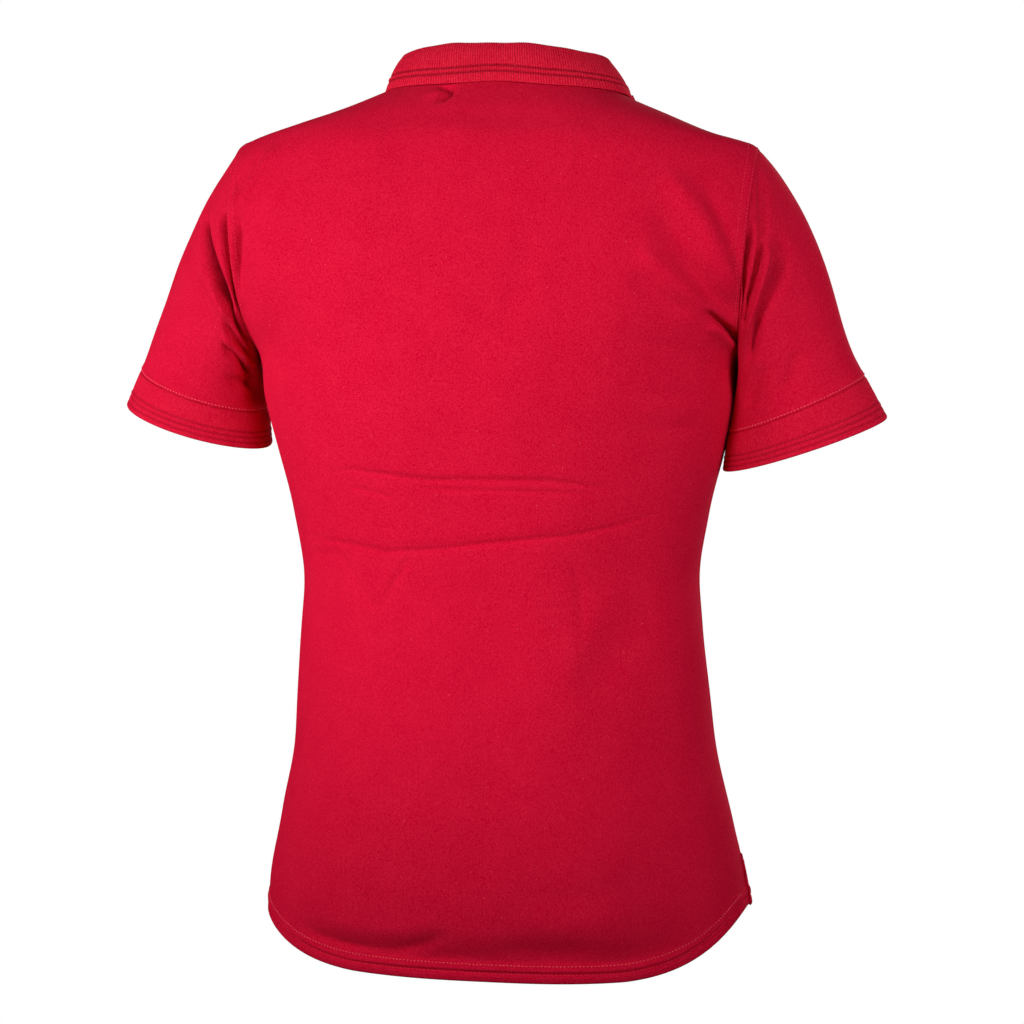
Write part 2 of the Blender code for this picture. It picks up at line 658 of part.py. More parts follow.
def collar_section(base, out, along, around, thick):
    """The collar's middle line at one station: up the stand, over the fold, down the leaf."""
    fold_out = smooth(around, COLLAR["round"], COLLAR["fold_out"])
    fold_up = smooth(around, COLLAR["round"], COLLAR["fold_up"])
    reach = smooth(around, COLLAR["round"], COLLAR["reach"])
    clear = smooth(around, COLLAR["round"], COLLAR["clear"])
    spread = POINT_SPREAD * ease(around - 1.0) ** 2
    up = np.array([0.0, 0.0, 1.0])
    spot = base + reach * out + spread * along
    rest, normal = body_height(spot[0], spot[1])
    edge = rest + (clear + thick / 2) * normal
    apex = base + fold_out * out + fold_up * up + 0.25 * spread * along
    shoulder_in = apex - FOLD_RADIUS * (out + up)
    shoulder_out = apex + FOLD_RADIUS * (out - 1.1 * up) + 0.05 * spread * along
    stand = base + STAND_FOOT * up - thick / 2 * out
    crown = (shoulder_out + edge) / 2 + LEAF_CROWN * unit(out + 0.5 * up)
    knots = np.array([stand, (stand + shoulder_in) / 2, shoulder_in, apex, shoulder_out, crown, edge])
    steps = np.linalg.norm(np.diff(knots, axis=0), axis=-1)
    run = np.concatenate([[0.0], np.cumsum(steps)])
    fine = np.linspace(0.0, run[-1], 240)
    path = np.stack([smooth(fine, run, knots[:, k]) for k in range(3)], axis=-1)
    steps = np.linalg.norm(np.diff(path, axis=0), axis=-1)
    return path, np.concatenate([[0.0], np.cumsum(steps)])


def collar_rows(length):
    """Distances along the middle line: even on the stand and fold, then about each knitted line."""
    lines = [length - at + k * LINE_HALF_WIDTH for at in COLLAR_LINES[::-1] for k in (-1, 0, 1)]
    start, end = FOLD_AT - FOLD_SPAN, FOLD_AT + FOLD_SPAN
    return np.concatenate([[0.0, 0.43 * start, 0.86 * start], np.linspace(start, end, 5),
                           [0.5 * (end + lines[0])], lines, [length]])


def add_collar(panels, collection):
    seam = neckline(panels)
    count = len(seam["edge"])
    half = count // 2
    at = np.arange(0.0, count - 1 + 0.25, 0.5)
    at = at[(at > 0) & (at < count - 1)]
    base = resample(seam["edge"], at)
    straight = resample(seam["edge"], at, True)
    normal = unit(resample(seam["normal"], at, True))
    ends = {0: -COLLAR_OPENS, -1: COLLAR_OPENS}
    middle = seam["edge"][0]
    for k, x in ends.items():
        for rows in (base, straight):
            rows[k] = middle
            rows[k, 0] += x
    tangent = unit(np.gradient(base, axis=0))
    out = np.cross(tangent, (0.0, 0.0, 1.0))
    out = unit(out * np.sign((out * (base - base.mean(axis=0))).sum(axis=-1, keepdims=True)))
    lift = unit(np.cross(tangent, normal))
    lift *= -np.sign((lift * out).sum(axis=-1, keepdims=True))
    inside = len(ACROSS_INSIDE_NECK) - 1
    around = np.abs(at - half) / inside
    stations = []
    for k in range(len(at)):
        along = tangent[k] * (1 if at[k] < half else -1)
        path, run = collar_section(base[k], out[k], along, min(around[k], 2.0), RIB)
        want = collar_rows(run[-1])
        points = np.stack([np.interp(want, run, path[:, axis]) for axis in range(3)], axis=-1)
        stations.append(points)
    grid = np.array(stations).transpose(1, 0, 2)
    normals = grid_normals(grid, out[len(at) // 2])
    if np.dot(normals[-1, len(at) // 2], out[len(at) // 2]) < 0:
        normals = -normals
    sink = np.zeros(len(grid))
    lines = len(COLLAR_LINES) * 3
    sink[-1 - lines:-1][1::3] = LINE_DEPTH
    face = grid + (RIB / 2 - sink[:, None, None]) * normals
    back = grid - RIB / 2 * normals
    foot = straight + COLLAR_GAP * lift
    face = np.concatenate([(foot - JERSEY * normal)[None], face])
    back = np.concatenate([foot[None], back])
    solid("collar", face, back, collection, finish("collar", (0.50, 0.006, 0.034), 0.9))


def add_shirt():
    collection = bpy.data.collections.new("polo_shirt")
    bpy.context.scene.collection.children.link(collection)
    panels = {face: panel(face) for face in ("back", "front")}
    frames = {}
    names = {1: "left", -1: "right"}
    for side, name in names.items():
        points, normals, across, shared = sleeve(side, panels)
        frames[side] = (across, shared)
        body = slice(0, ALONG_SLEEVE + 1)
        solid(f"sleeve_{name}", points[body], points[body] - JERSEY * normals[body], collection,
              finish(f"sleeve_{name}", (0.57, 0.007, 0.040), 0.85), closed=True)
        rib = slice(ALONG_SLEEVE + 1, None)
        sink = np.zeros(len(points[rib]))
        sink[2:-1:3] = LINE_DEPTH
        face = points[rib] - sink[:, None, None] * normals[rib]
        solid(f"cuff_{name}", face, points[rib] - RIB * normals[rib], collection,
              finish(f"cuff_{name}", (0.52, 0.006, 0.036), 0.9), closed=True)
    for face, (points, normals) in panels.items():
        points, normals = sewn_edges(points, normals, face, frames)
        keep = slit_cells(*points.shape[:2]) if face == "front" else None
        solid(face, points, points - JERSEY * normals, collection,
              finish(face, (0.55, 0.006, 0.036), 0.85), keep)
    add_collar(panels, collection)
    add_placket(collection)
    add_buttons(collection)


for thing in list(bpy.data.objects):
    bpy.data.objects.remove(thing)
add_shirt()
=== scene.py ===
"""The polo shirt as it looks: fine red knit over the solids' forms, ribbed, stitched and buttoned.

Metres, +Z up. The front faces -Y and the wearer's left is +X.
"""
import math

import bpy
import numpy as np
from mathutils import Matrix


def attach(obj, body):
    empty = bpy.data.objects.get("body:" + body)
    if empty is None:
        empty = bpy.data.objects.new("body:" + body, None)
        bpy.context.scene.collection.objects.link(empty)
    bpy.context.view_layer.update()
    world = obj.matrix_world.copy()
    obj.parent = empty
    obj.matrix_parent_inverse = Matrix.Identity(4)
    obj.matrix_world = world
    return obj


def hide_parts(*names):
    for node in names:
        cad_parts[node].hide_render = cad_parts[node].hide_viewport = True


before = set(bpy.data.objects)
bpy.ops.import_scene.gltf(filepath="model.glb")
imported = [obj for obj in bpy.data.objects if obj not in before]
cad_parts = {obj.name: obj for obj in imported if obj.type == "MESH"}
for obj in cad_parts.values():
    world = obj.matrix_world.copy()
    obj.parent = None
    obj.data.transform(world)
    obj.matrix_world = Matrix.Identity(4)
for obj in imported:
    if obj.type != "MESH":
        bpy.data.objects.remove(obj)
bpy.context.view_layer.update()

# ------------------------------------------------------------------------------------------
# Back. One piece of fine brushed cotton knit, cut from the shoulder seams to the curved tail.
# Its hem is turned up and twin-needled, and it is topstitched beside the armholes. The worn
# cloth is creased across the waist and drawn towards the armpits.

# the cloth, and the gap between pieces at a seam
SEAM_GAP = 0.0003
JERSEY = 0.0016
# where the panels end: neck, shoulder tips, armpits and hems
NECK_HALF_WIDTH = 0.078
BACK_NECK_LEVEL = -0.010
FRONT_NECK_LEVEL = -0.050
SHOULDER_TIP = 0.2135
NECK_ACROSS = NECK_HALF_WIDTH / SHOULDER_TIP
TIP_LEVEL = -0.057
ARMPIT_LEVEL = -0.222
BACK_HEM = -0.7205
FRONT_HEM = -0.692
# the body's oval, its upper part tipped down in front, and the dip of the right shoulder
TIP_SLOPE = 0.25
TIP_FADES_TO = -0.250
TIP_FULL_FROM = -0.060
ROUNDNESS = 2.3
SHOULDER_DIP = 0.0040
DIP_AT = -0.180
DIP_SPAN = 0.034
DIP_FADES_TO = -0.200
DIP_FADE = 0.120
# vents at the sides, and how far each row of stitches lies from its edge
VENT = 0.050
VENT_OPENS = 0.0030
VENT_ROW = 0.0060
HEM_ROWS = (0.0072, 0.0138)
ARMHOLE_ROWS = (0.0032, 0.0105)
# relief: the turned hem, the hollow above it and its lower groove, the armhole's band and
# grooves, and seams drawn in
HEM_BAND = 0.0008
HEM_HOLLOW = 0.0046
HEM_GROOVE = 0.0024
BAND = 0.0006
GROOVE = 0.00045
SEAM_DRAW = 0.0009
# the grid: columns from the middle to the neck's end and across half the placket's slit, the
# slit's share of the neck, and the level at which rows crowd
NECK_COLUMNS = 33
SLIT_COLUMNS = 5
SLIT_SHARE = 0.154
WAIST_CREASES = -0.352


def columns(names, rows):
    """A table's columns as arrays, by name."""
    return dict(zip(names.split(), np.array(rows, float).T))


BODY = columns("level half_width back front", (
    (-0.720, 0.2005, 0.107, 0.118),
    (-0.690, 0.2000, 0.115, 0.120),
    (-0.660, 0.1975, 0.120, 0.121),
    (-0.600, 0.1865, 0.121, 0.121),
    (-0.540, 0.1745, 0.115, 0.120),
    (-0.480, 0.1690, 0.109, 0.119),
    (-0.440, 0.1655, 0.107, 0.119),
    (-0.400, 0.1635, 0.107, 0.119),
    (-0.350, 0.1715, 0.112, 0.120),
    (-0.300, 0.1845, 0.119, 0.123),
    (-0.260, 0.1940, 0.124, 0.124),
    (-0.222, 0.199, 0.126, 0.123),
    (-0.200, 0.216, 0.125, 0.121),
    (-0.170, 0.241, 0.122, 0.116),
    (-0.140, 0.253, 0.118, 0.109),
    (-0.100, 0.250, 0.107, 0.095),
    (-0.074, 0.234, 0.097, 0.082),
    (-0.057, 0.2135, 0.086, 0.073),
    (-0.050, 0.1925, 0.082, 0.069),
    (-0.040, 0.163, 0.075, 0.064),
    (-0.0275, 0.131, 0.065, 0.055),
    (-0.015, 0.1035, 0.054, 0.045),
    (0.000, 0.078, 0.040, 0.034),
))
ARMHOLE = columns("level back front", (
    (-0.222, 0.199, 0.199),
    (-0.200, 0.203, 0.198),
    (-0.180, 0.206, 0.197),
    (-0.150, 0.210, 0.198),
    (-0.120, 0.213, 0.202),
    (-0.090, 0.215, 0.208),
    (-0.072, 0.2148, 0.212),
    (-0.057, 0.2135, 0.2135),
))
HEM_ENDS = columns("side level curve", (
    (-1, -0.664, 4.9),
    (1, -0.679, 4.9),
))
SWAY = columns("level shift", (
    (-0.720, -0.0185),
    (-0.600, -0.0145),
    (-0.500, -0.0095),
    (-0.400, -0.0055),
    (-0.317, -0.0030),
    (-0.240, 0.0),
    (-0.060, 0.0),
    (-0.010, -0.0030),
    (0.060, -0.0030),
))

# Creases in millimetres: how deep (below 0) or proud, the distance at which each has faded to a
# third, and the bent line that it follows, as x and z of each of its points.
BACK_CREASES = (
    # the long crease across the waist, its fainter twin below, and the swell between
    (-1.7, 1.9, 128, -329.5, 115, -322, 100, -320, 34, -327.5, -59, -326.5, -103, -331, -130, -337.5),
    (-0.4, 9, 134, -329, 100, -322.5, 34, -328, -128, -337),
    (-1, 1.8, 60, -333, 10, -335, -60, -335.5, -110, -336.5),
    (0.5, 4, 115, -316.5, 34, -321.5, -59, -320.5, -105, -324),
    (-1.3, 1.8, 104, -332.5, 84, -336.5, 60, -342.5),
    (-0.8, 2, 109, -330, 103, -342, 107, -358),
    # the lower crease, which bows down on the left and climbs to the right
    (-1.8, 1.9, 158, -369, 125, -376.5, 105, -379, 72, -385, 30, -382.5, -12, -376.8, -81, -368.8,
     -113.5, -361, -158, -344),
    (-0.7, 10, 158, -369, 105, -380, 68, -384.5, -12, -377.6, -113.5, -362, -160, -343),
    (0.5, 5, 125, -368, 68, -376.5, -12, -369, -113.5, -353),
    # a thin V hanging from the lower crease, and dents beside it
    (-2.1, 2.4, 122, -378, 100, -403, 76, -437),
    (-1.9, 2.4, 46, -382, 60, -406, 80, -437),
    (-1.4, 5, 142, -387, 112, -390),
    (-0.8, 4, -79, -378, -87, -415, -90, -455),
    (-1.8, 15, -140, -415, -116, -456, -92, -498),
    (1.4, 14, -118, -402, -90, -450, -70, -492),
    # pulled towards the wearer's right armpit: two swells, the hollows between, one deep slit
    (4.6, 9.5, -142, -78, -160, -98, -178, -122, -192, -152, -206, -186),
    (-4.4, 6, -176, -90, -189, -115, -200, -138, -206, -166),
    (-5.2, 8, -138, -112, -155, -136, -170, -160, -184, -179, -204, -200),
    (4.4, 7.5, -124, -138, -146, -158, -168, -177, -188, -192, -202, -204),
    (-2.2, 7, -122, -164, -148, -182, -172, -194),
    (-9, 2.7, -177, -188, -186, -195, -194, -202, -201, -210.5, -209, -223),
    (3.4, 4.6, -180, -199, -190, -208, -198, -217),
    (-1, 4.2, -128, -260, -142, -257.3, -158, -256, -178, -253.4),
    (-1, 4.2, -130, -284, -142, -282.6, -154, -283.4, -172, -283),
    (0.8, 6, -128, -270, -152, -269, -176, -268),
    (-0.9, 6, -112, -205, -140, -216, -168, -224),
    # the wearer's left: a fold down from the shoulder and a hollow beside the armhole
    (3.4, 5.2, 166, -58, 179, -70, 189, -84, 200, -108, 206, -124),
    (-3, 5, 182, -64, 196, -82, 207, -104),
    (-3.8, 4, 200, -100, 202.2, -130, 203.5, -158, 205.2, -182),
    (-3, 3.2, 202.2, -122, 202.8, -142.5, 204.2, -166),
    (1.4, 12, 150, -150, 176, -184, 192, -212),
    # slack between the shoulder blades and above the tail
    (-1.4, 12, -48, -128, -40, -165, -22, -222),
    (-1.2, 12, 72, -160, 86, -205, 100, -252),
    (1.2, 16, -10, -130, 10, -180, 22, -240),
    # a dimple where the collar's edge holds the cloth
    (-5.2, 2.2, 43, -10, 36.3, -10.7, 32.1, -12, 29.2, -14.9, 30.5, -17.7, 34, -21, 40, -24),
    (2.2, 3.6, 52, -19, 35, -16),
    # the turned tail rolls out below a hollow
    (-3, 3.2, 146, -680, 124, -693.5, 104, -698.5, 76, -701, 53, -700, 37, -695.5, 20, -688, -4, -683),
    (1.2, 5, 120, -676, 90, -683, 60, -684, 36, -680, 12, -668),
    (0.9, 2.8, 100, -701.5, 84, -702.6, 59, -700, 40, -698.5),
    (-2, 2, 110, -705, 88, -707.4, 70, -706.2, 45, -704.4),
    (-1.2, 8, -30, -650, -90, -652, -130, -643, -160, -630),
    (-1.4, 7, -20, -692, -70, -694, -115, -690),
    (1, 9, -40, -672, -100, -674, -140, -664),
    (-1, 14, 90, -560, 20, -575, -60, -565),
)


def smooth(at, xs, ys):
    """A curve through the points: a cubic on each step, with slopes taken from the neighbours."""
    slopes = np.gradient(ys, xs)
    at = np.clip(at, xs[0], xs[-1])
    i = np.clip(np.searchsorted(xs, at) - 1, 0, len(xs) - 2)
    step = xs[i + 1] - xs[i]
    t = (at - xs[i]) / step
    return ((1 + 2 * t) * (1 - t) ** 2 * ys[i] + t * (1 - t) ** 2 * step * slopes[i]
            + t * t * (3 - 2 * t) * ys[i + 1] + t * t * (t - 1) * step * slopes[i + 1])


def ease(t):
    """0 below 0, 1 above 1, and a smooth S between: t * t * (3 - 2 t)."""
    t = np.clip(t, 0.0, 1.0)
    return t * t * (3 - 2 * t)


def bell(x, width):
    """1 where x is 0, and a third at the width: exp(-(x / width) ** 2)."""
    return np.exp(-(x / width) ** 2)


def rounded(x, radius):
    """1 at an edge and 0 from the radius on: (1 - x / radius) ** 2."""
    return np.clip(1 - x / radius, 0, 1) ** 2


def unit(vectors):
    """The vectors at length 1."""
    return vectors / np.linalg.norm(vectors, axis=-1, keepdims=True)


def half_width(level):
    """Half the body's width at a level."""
    return smooth(level, BODY["level"], BODY["half_width"])


def body_point(face, x, level):
    """On the body's oval: y = depth * (1 - |x / half width| ** roundness) ** 1/2.

    The upper body is tipped down in front (z grows by the slope times y), the wearer's right
    shoulder dips as a bell of x, and each level is swayed sideways by its own shift.
    """
    depth = smooth(level, BODY["level"], BODY[face])
    across = np.clip(np.abs(x) / half_width(level), 0.0, 1.0)
    y = (1 if face == "back" else -1) * depth * np.sqrt(1 - across ** ROUNDNESS)
    tip = TIP_SLOPE * ease((level - TIP_FADES_TO) / (TIP_FULL_FROM - TIP_FADES_TO))
    dip = SHOULDER_DIP * bell(x - DIP_AT, DIP_SPAN) * ease((level - DIP_FADES_TO) / DIP_FADE)
    return np.stack([x + smooth(level, SWAY["level"], SWAY["shift"]), y, level + tip * y - dip], axis=-1)


def neck_level(face, x):
    """The neckline: an ellipse at the back, and at the front (1 - s ** 1.6) ** 0.8 of its drop."""
    share = np.clip(np.abs(x) / NECK_HALF_WIDTH, 0.0, 1.0)
    if face == "back":
        return BACK_NECK_LEVEL * np.sqrt(1 - share ** 2)
    return FRONT_NECK_LEVEL * (1 - share ** 1.6) ** 0.8


def top_level(face, x):
    """Where a panel ends above: at the neckline, or past it at the shoulder seam's ridge."""
    levels = np.linspace(0.0, TIP_LEVEL, 400)
    ridge = np.interp(np.abs(x), half_width(levels), levels)
    return np.where(np.abs(x) <= NECK_HALF_WIDTH + 1e-9, neck_level(face, x), ridge)


def column_x(face, across, level):
    """A column's x at a level. across runs from -1 to 1 between the side edges of the panel."""
    edge = np.where(level > TIP_LEVEL, SHOULDER_TIP, smooth(level, ARMHOLE["level"], ARMHOLE[face]))
    edge = np.where(level < ARMPIT_LEVEL, half_width(level), edge)
    even = ease((level - ARMPIT_LEVEL) / 0.10)
    spread = edge * ((1 - even) * np.sin(across * math.pi / 2) + even * across)
    plain = SHOULDER_TIP * across
    return plain + (spread - plain) * np.clip(np.abs(across) / NECK_ACROSS, 0.0, 1.0) ** 2


def hem_level(face, across):
    """The tail's curve: |sin| to a power of its own on either side."""
    middle = BACK_HEM if face == "back" else FRONT_HEM
    share = np.sin(across * math.pi / 2)
    end = (share > 0).astype(int)
    return middle + (HEM_ENDS["level"][end] - middle) * np.abs(share) ** HEM_ENDS["curve"][end]


def walked(points, axis, back=False):
    """How far along the cloth each point lies from the grid's first (or last) line."""
    if back:
        return np.flip(walked(np.flip(points, axis), axis), axis)
    steps = np.linalg.norm(np.diff(points, axis=axis), axis=-1)
    start = np.zeros_like(np.take(steps, [0], axis=axis))
    return np.concatenate([start, np.cumsum(steps, axis=axis)], axis=axis)


def read_along(at, run, values):
    """Vectors read at distances along a line, by straight steps between its points."""
    return np.stack([np.interp(at, run, values[:, k]) for k in range(3)], axis=-1)


def panel_points(face, across, rows):
    """The panel's outside: rows run 0 at the hem, 1 at the armpit's level, 2 at the top.

    Above the armpit each column is cut into steps of equal length along the cloth.
    """
    low = rows[rows < 1.0][:, None]
    hem = hem_level(face, across)
    level = hem + (ARMPIT_LEVEL - hem) * low
    lower = body_point(face, column_x(face, across, level), level)
    top = top_level(face, column_x(face, across, 0.0 * across))
    fine = np.linspace(1.0, 0.0, 481)[:, None] ** 2
    level = top + (ARMPIT_LEVEL - top) * fine
    path = body_point(face, column_x(face, across, level), level)
    run = walked(path, 0)
    want = rows[rows >= 1.0] - 1.0
    upper = [read_along(want * run[-1, j], run[:, j], path[:, j]) for j in range(len(across))]
    return np.concatenate([lower, np.stack(upper, axis=1)])


def across_steps(outside):
    """Columns from side to side, with one on each edge of the placket's slit and of the neck.

    They crowd towards the neck's ends (a sine) and towards the armholes (1 - (1 - t) ** 1.3).
    """
    first = NECK_ACROSS * SLIT_SHARE * np.arange(SLIT_COLUMNS) / SLIT_COLUMNS
    t = np.arange(NECK_COLUMNS - SLIT_COLUMNS) / (NECK_COLUMNS - SLIT_COLUMNS)
    second = NECK_ACROSS * (SLIT_SHARE + (1 - SLIT_SHARE) * (0.5 * t + 0.5 * np.sin(t * math.pi / 2)))
    t = np.arange(outside + 1) / outside
    half = np.concatenate([first, second, NECK_ACROSS + (1 - NECK_ACROSS) * (1 - (1 - t) ** 1.3)])
    return np.concatenate([-half[:0:-1], half])


def row_steps(hem, below, above, waist):
    """Rows from hem to top, close together at the hem's stitches and, by waist, at the waist.

    Above the armpit they crowd at the armpit's folds and under the collar.
    """
    fine = np.linspace(0.0, 1.0, 2000)

    def crowded(steps, density):
        """Where the running total of the density reaches each step."""
        run = np.cumsum(density)
        return np.interp(steps, (run - run[0]) / (run[-1] - run[0]), fine)

    level = hem + (ARMPIT_LEVEL - hem) * fine
    at_hem = 5.5 * np.exp(-((level - hem) / 0.017) ** 4)
    body = crowded(np.arange(below) / below, 1.0 + waist * bell(level - WAIST_CREASES, 0.050) + at_hem)
    upper = crowded(np.arange(above + 1) / above,
                    1.0 + 1.1 * bell(fine - 0.12, 0.08) + 1.5 * bell(1 - fine, 0.09))
    return np.concatenate([body, 1.0 + upper])


def grid_normals(points, closed=False):
    """Unit normals of a grid: the cross product of its two central differences."""
    down = np.gradient(points, axis=0)
    if closed:
        beside = np.roll(points, -1, axis=1) - np.roll(points, 1, axis=1)
    else:
        beside = np.gradient(points, axis=1)
    return unit(np.cross(down, beside))


def panel_normals(face, points):
    """A panel's unit normals, out of the shirt."""
    normals = grid_normals(points)
    middle = normals[len(points) // 2, points.shape[1] // 2, 1]
    return normals if middle * (1 if face == "back" else -1) > 0 else -normals


def crease(u, v, depth, width, line):
    """A trough or ridge along a bent line: depth * exp(-(distance / width) ** 2), faded at its ends."""
    steps = np.diff(line, axis=0)
    lengths = np.hypot(steps[:, 0], steps[:, 1])
    before = np.concatenate([[0.0], np.cumsum(lengths)])
    nearest = np.full(np.shape(u), 1e9)
    along = np.zeros(np.shape(u))
    for (a, b), (da, db), length, start in zip(line, steps, lengths, before):
        t = np.clip(((u - a) * da + (v - b) * db) / length ** 2, 0.0, 1.0)
        apart = np.hypot(u - a - t * da, v - b - t * db)
        along = np.where(apart < nearest, start + t * length, along)
        nearest = np.minimum(apart, nearest)
    share = along / before[-1]
    return depth * bell(nearest, width) * ease(share / 0.22) * ease((1 - share) / 0.22)


def creased(u, v, table, scale=(1000.0, 1000.0)):
    """All the creases of a table together. Its points are divided by the scale."""
    return sum(crease(u, v, depth / 1000.0, width / 1000.0, np.reshape(line, (-1, 2)) / scale)
               for depth, width, *line in table)


def shaded_folds(relief):
    """How far a fold is shut, 0 to 1, for painted shade: folds deeper than 4 mm close by 11 mm."""
    return ease((-relief - 0.0040) / 0.0070)


def slack(x, z, seed):
    """Very low swells that no two places share: three crossed sines a few centimetres long."""
    return (0.0007 * np.sin(43 * x + 17 * z + seed) * np.sin(29 * z - 21 * x + 2.1 * seed)
            + 0.0004 * np.sin(71 * x - 38 * z + 1.7 * seed) * np.sin(52 * z + 13 * x + seed))


def above_hem(points):
    """How far each point lies from the hem's edge, square to the edge."""
    hem = points[0, :, 2]
    slope = np.gradient(hem, walked(points[:1], 1)[0])
    return (points[..., 2] - hem) / np.sqrt(1 + slope ** 2)


def dressed(face, across, rows, creases, seed):
    """A panel's outside with its creases, turned hem, topstitched bands and drawn-in seams, and how
    far its folds are shut, for the shade painted into them."""
    points = panel_points(face, across, rows)
    sign = 1 if face == "back" else -1
    normals = panel_normals(face, points)
    above = (rows >= 1.0)[:, None]
    outside_neck = (np.abs(across) >= NECK_ACROSS - 1e-9)[None, :]
    on_seam = np.zeros(points.shape[:2], bool)
    on_seam[:, [0, -1]] = ~above
    on_seam[-1] = outside_neck[0]
    normals[on_seam, 1] = 0.0
    normals = unit(normals)
    from_side = np.minimum(walked(points, 1), walked(points, 1, True))
    from_top = walked(points, 0, True)
    from_hem = above_hem(points)
    x, z = points[..., 0], points[..., 2]
    # creases die out at the sides, the shoulder seam and the hem
    loose = ease(from_side / 0.016) * (1 - outside_neck * (1 - ease(from_top / 0.018)))
    loose = loose * ease(from_hem / 0.020)
    relief = creased(x, z, creases) * loose
    height = relief + slack(x, z, seed) * loose
    # the turned hem: a hollow above it, a low band, two stitched grooves and a rounded edge
    first, second = HEM_ROWS
    middle = 1 - ease((np.abs(across) - 0.42) / 0.20)
    full = 0.2 + 0.8 * ease(from_side / 0.014)
    height -= HEM_HOLLOW * middle * bell(from_hem - 0.0170, np.where(from_hem > 0.0170, 0.0130, 0.0070))
    height += HEM_BAND * (1 - ease((from_hem - second + 0.0006) / 0.0022))
    height += BAND * full * bell(from_hem - (first + second) / 2, 0.0022)
    height -= HEM_GROOVE * full * bell(from_hem - first, 0.0014)
    height -= 0.0003 * bell(from_hem - second, 0.0009)
    height -= 0.0008 * rounded(from_hem, 0.0016)
    # the bands beside the armholes, over the seam's turnings
    for apart in ARMHOLE_ROWS:
        height -= above * GROOVE * bell(from_side - apart, 0.0010)
    height += above * BAND * (1 - ease((from_side - 0.0112) / 0.002)) * ease(from_side / 0.0015)
    # the vents' turned edges
    ends = HEM_ENDS["level"][(x > SWAY["shift"][0]).astype(int)]
    vent = (1 - above) * (1 - ease((z - ends - VENT) / 0.004))
    height += vent * 0.0004 * (1 - ease((from_side - VENT_ROW) / 0.0015))
    height -= vent * 0.0004 * bell(from_side - VENT_ROW, 0.0010)
    # side, shoulder and armhole seams draw in
    height -= (1 - vent) * SEAM_DRAW * bell(from_side, 0.0018)
    height -= outside_neck * 0.0008 * bell(from_top, 0.0020)
    points = points + height[..., None] * normals
    points[on_seam, 1] = sign * SEAM_GAP / 2
    opened = np.clip((HEM_ENDS["level"] + VENT - points[:, [0, -1], 2]) / VENT, 0.0, 1.0)
    points[:, [0, -1], 1] += sign * VENT_OPENS * opened
    return points, shaded_folds(relief)


def new_piece(name, mesh, material):
    """A smooth object of the mesh and the material, at the origin."""
    mesh.shade_smooth()
    mesh.materials.append(material)
    piece = bpy.data.objects.new(name, mesh)
    bpy.context.scene.collection.objects.link(piece)
    return piece


def cloth(name, points, thick, material, outward, closed=False, keep=None, ribs=None, depths=None,
          folds=None):
    """A grid made into a sheet of quads, thickened on its inside.

    outward is a point that the middle of the sheet turns its back on. The UV map holds the way
    across and along the cloth in metres, and ribs and depths stand for the two where they are
    given. folds says how far the cloth is shut in a fold, and goes to the mesh for painted shade.
    """
    rows, across = points.shape[:2]
    cells = across if closed else across - 1
    ring = np.concatenate([points, points[:, :1]], axis=1) if closed else points
    i, j = np.nonzero(np.ones((rows - 1, cells), bool) if keep is None else keep)
    k = (j + 1) % across
    corners = np.stack([i * across + j, i * across + k, (i + 1) * across + k, (i + 1) * across + j], axis=1)
    u = walked(ring, 1)
    u = u - u[:, [cells // 2]] if ribs is None else ribs + 0 * u
    v = walked(ring, 0) if depths is None else depths + 0 * u
    spots = np.stack([(u[a, b], v[a, b]) for a, b in ((i, j), (i, j + 1), (i + 1, j + 1), (i + 1, j))])
    spots = spots.transpose(2, 0, 1)
    flat = points.reshape(-1, 3)
    normal = np.cross(flat[corners[:, 1]] - flat[corners[:, 0]], flat[corners[:, 3]] - flat[corners[:, 0]])
    middle = flat[corners].mean(axis=1)
    away = (normal * (middle - np.asarray(outward))).sum(axis=1).sum()
    if away < 0:
        corners = corners[:, ::-1]
        spots = spots[:, ::-1]
    used = np.unique(corners)
    place = np.zeros(len(flat), int)
    place[used] = np.arange(len(used))
    mesh = bpy.data.meshes.new(name)
    mesh.from_pydata(flat[used], [], place[corners].tolist())
    layer = mesh.uv_layers.new(name="cloth")
    layer.uv.foreach_set("vector", spots.reshape(-1).astype(np.float32))
    if folds is not None:
        shut = mesh.attributes.new("fold", "FLOAT", "POINT")
        shut.data.foreach_set("value", folds.reshape(-1)[used].astype(np.float32))
    piece = new_piece(name, mesh, material)
    wall = piece.modifiers.new("wall", "SOLIDIFY")
    wall.thickness = thick
    wall.offset = -1.0
    return piece


def node(tree, kind, inputs=(), **settings):
    """A shader node with its settings, and values or links on its inputs."""
    made = tree.nodes.new("ShaderNode" + kind)
    for name, value in settings.items():
        setattr(made, name, value)
    for name, value in dict(inputs).items():
        if isinstance(value, bpy.types.NodeSocket):
            tree.links.new(value, made.inputs[name])
        else:
            made.inputs[name].default_value = value
    return made


def reckoned(tree, operation, *values):
    """The result of a Math node."""
    return node(tree, "Math", dict(enumerate(values)), operation=operation).outputs[0]


def mapped(tree, value, settings, **kind):
    """The result of a Map Range node."""
    return node(tree, "MapRange", {"Value": value, **settings}, **kind).outputs[0]


def darkened(tree, colour, share):
    """The colour times a share."""
    mixed = node(tree, "MixRGB", {"Fac": 1.0, "Color1": colour, "Color2": share}, blend_type="MULTIPLY")
    return mixed.outputs[0]


def two_tone(tree, value, *stops):
    """From one colour to another, between the two positions that the stops give."""
    ramp = node(tree, "ValToRGB", {"Fac": value})
    for element, (position, colour) in zip(ramp.color_ramp.elements, stops):
        element.position = position
        element.color = (*colour, 1.0)
    return ramp.outputs["Color"]


def noise(tree, where, scale, detail, **more):
    """A noise on the object's own coordinates."""
    inputs = {"Vector": where.outputs["Object"], "Scale": scale, "Detail": detail, **more}
    return node(tree, "TexNoise", inputs).outputs["Fac"]


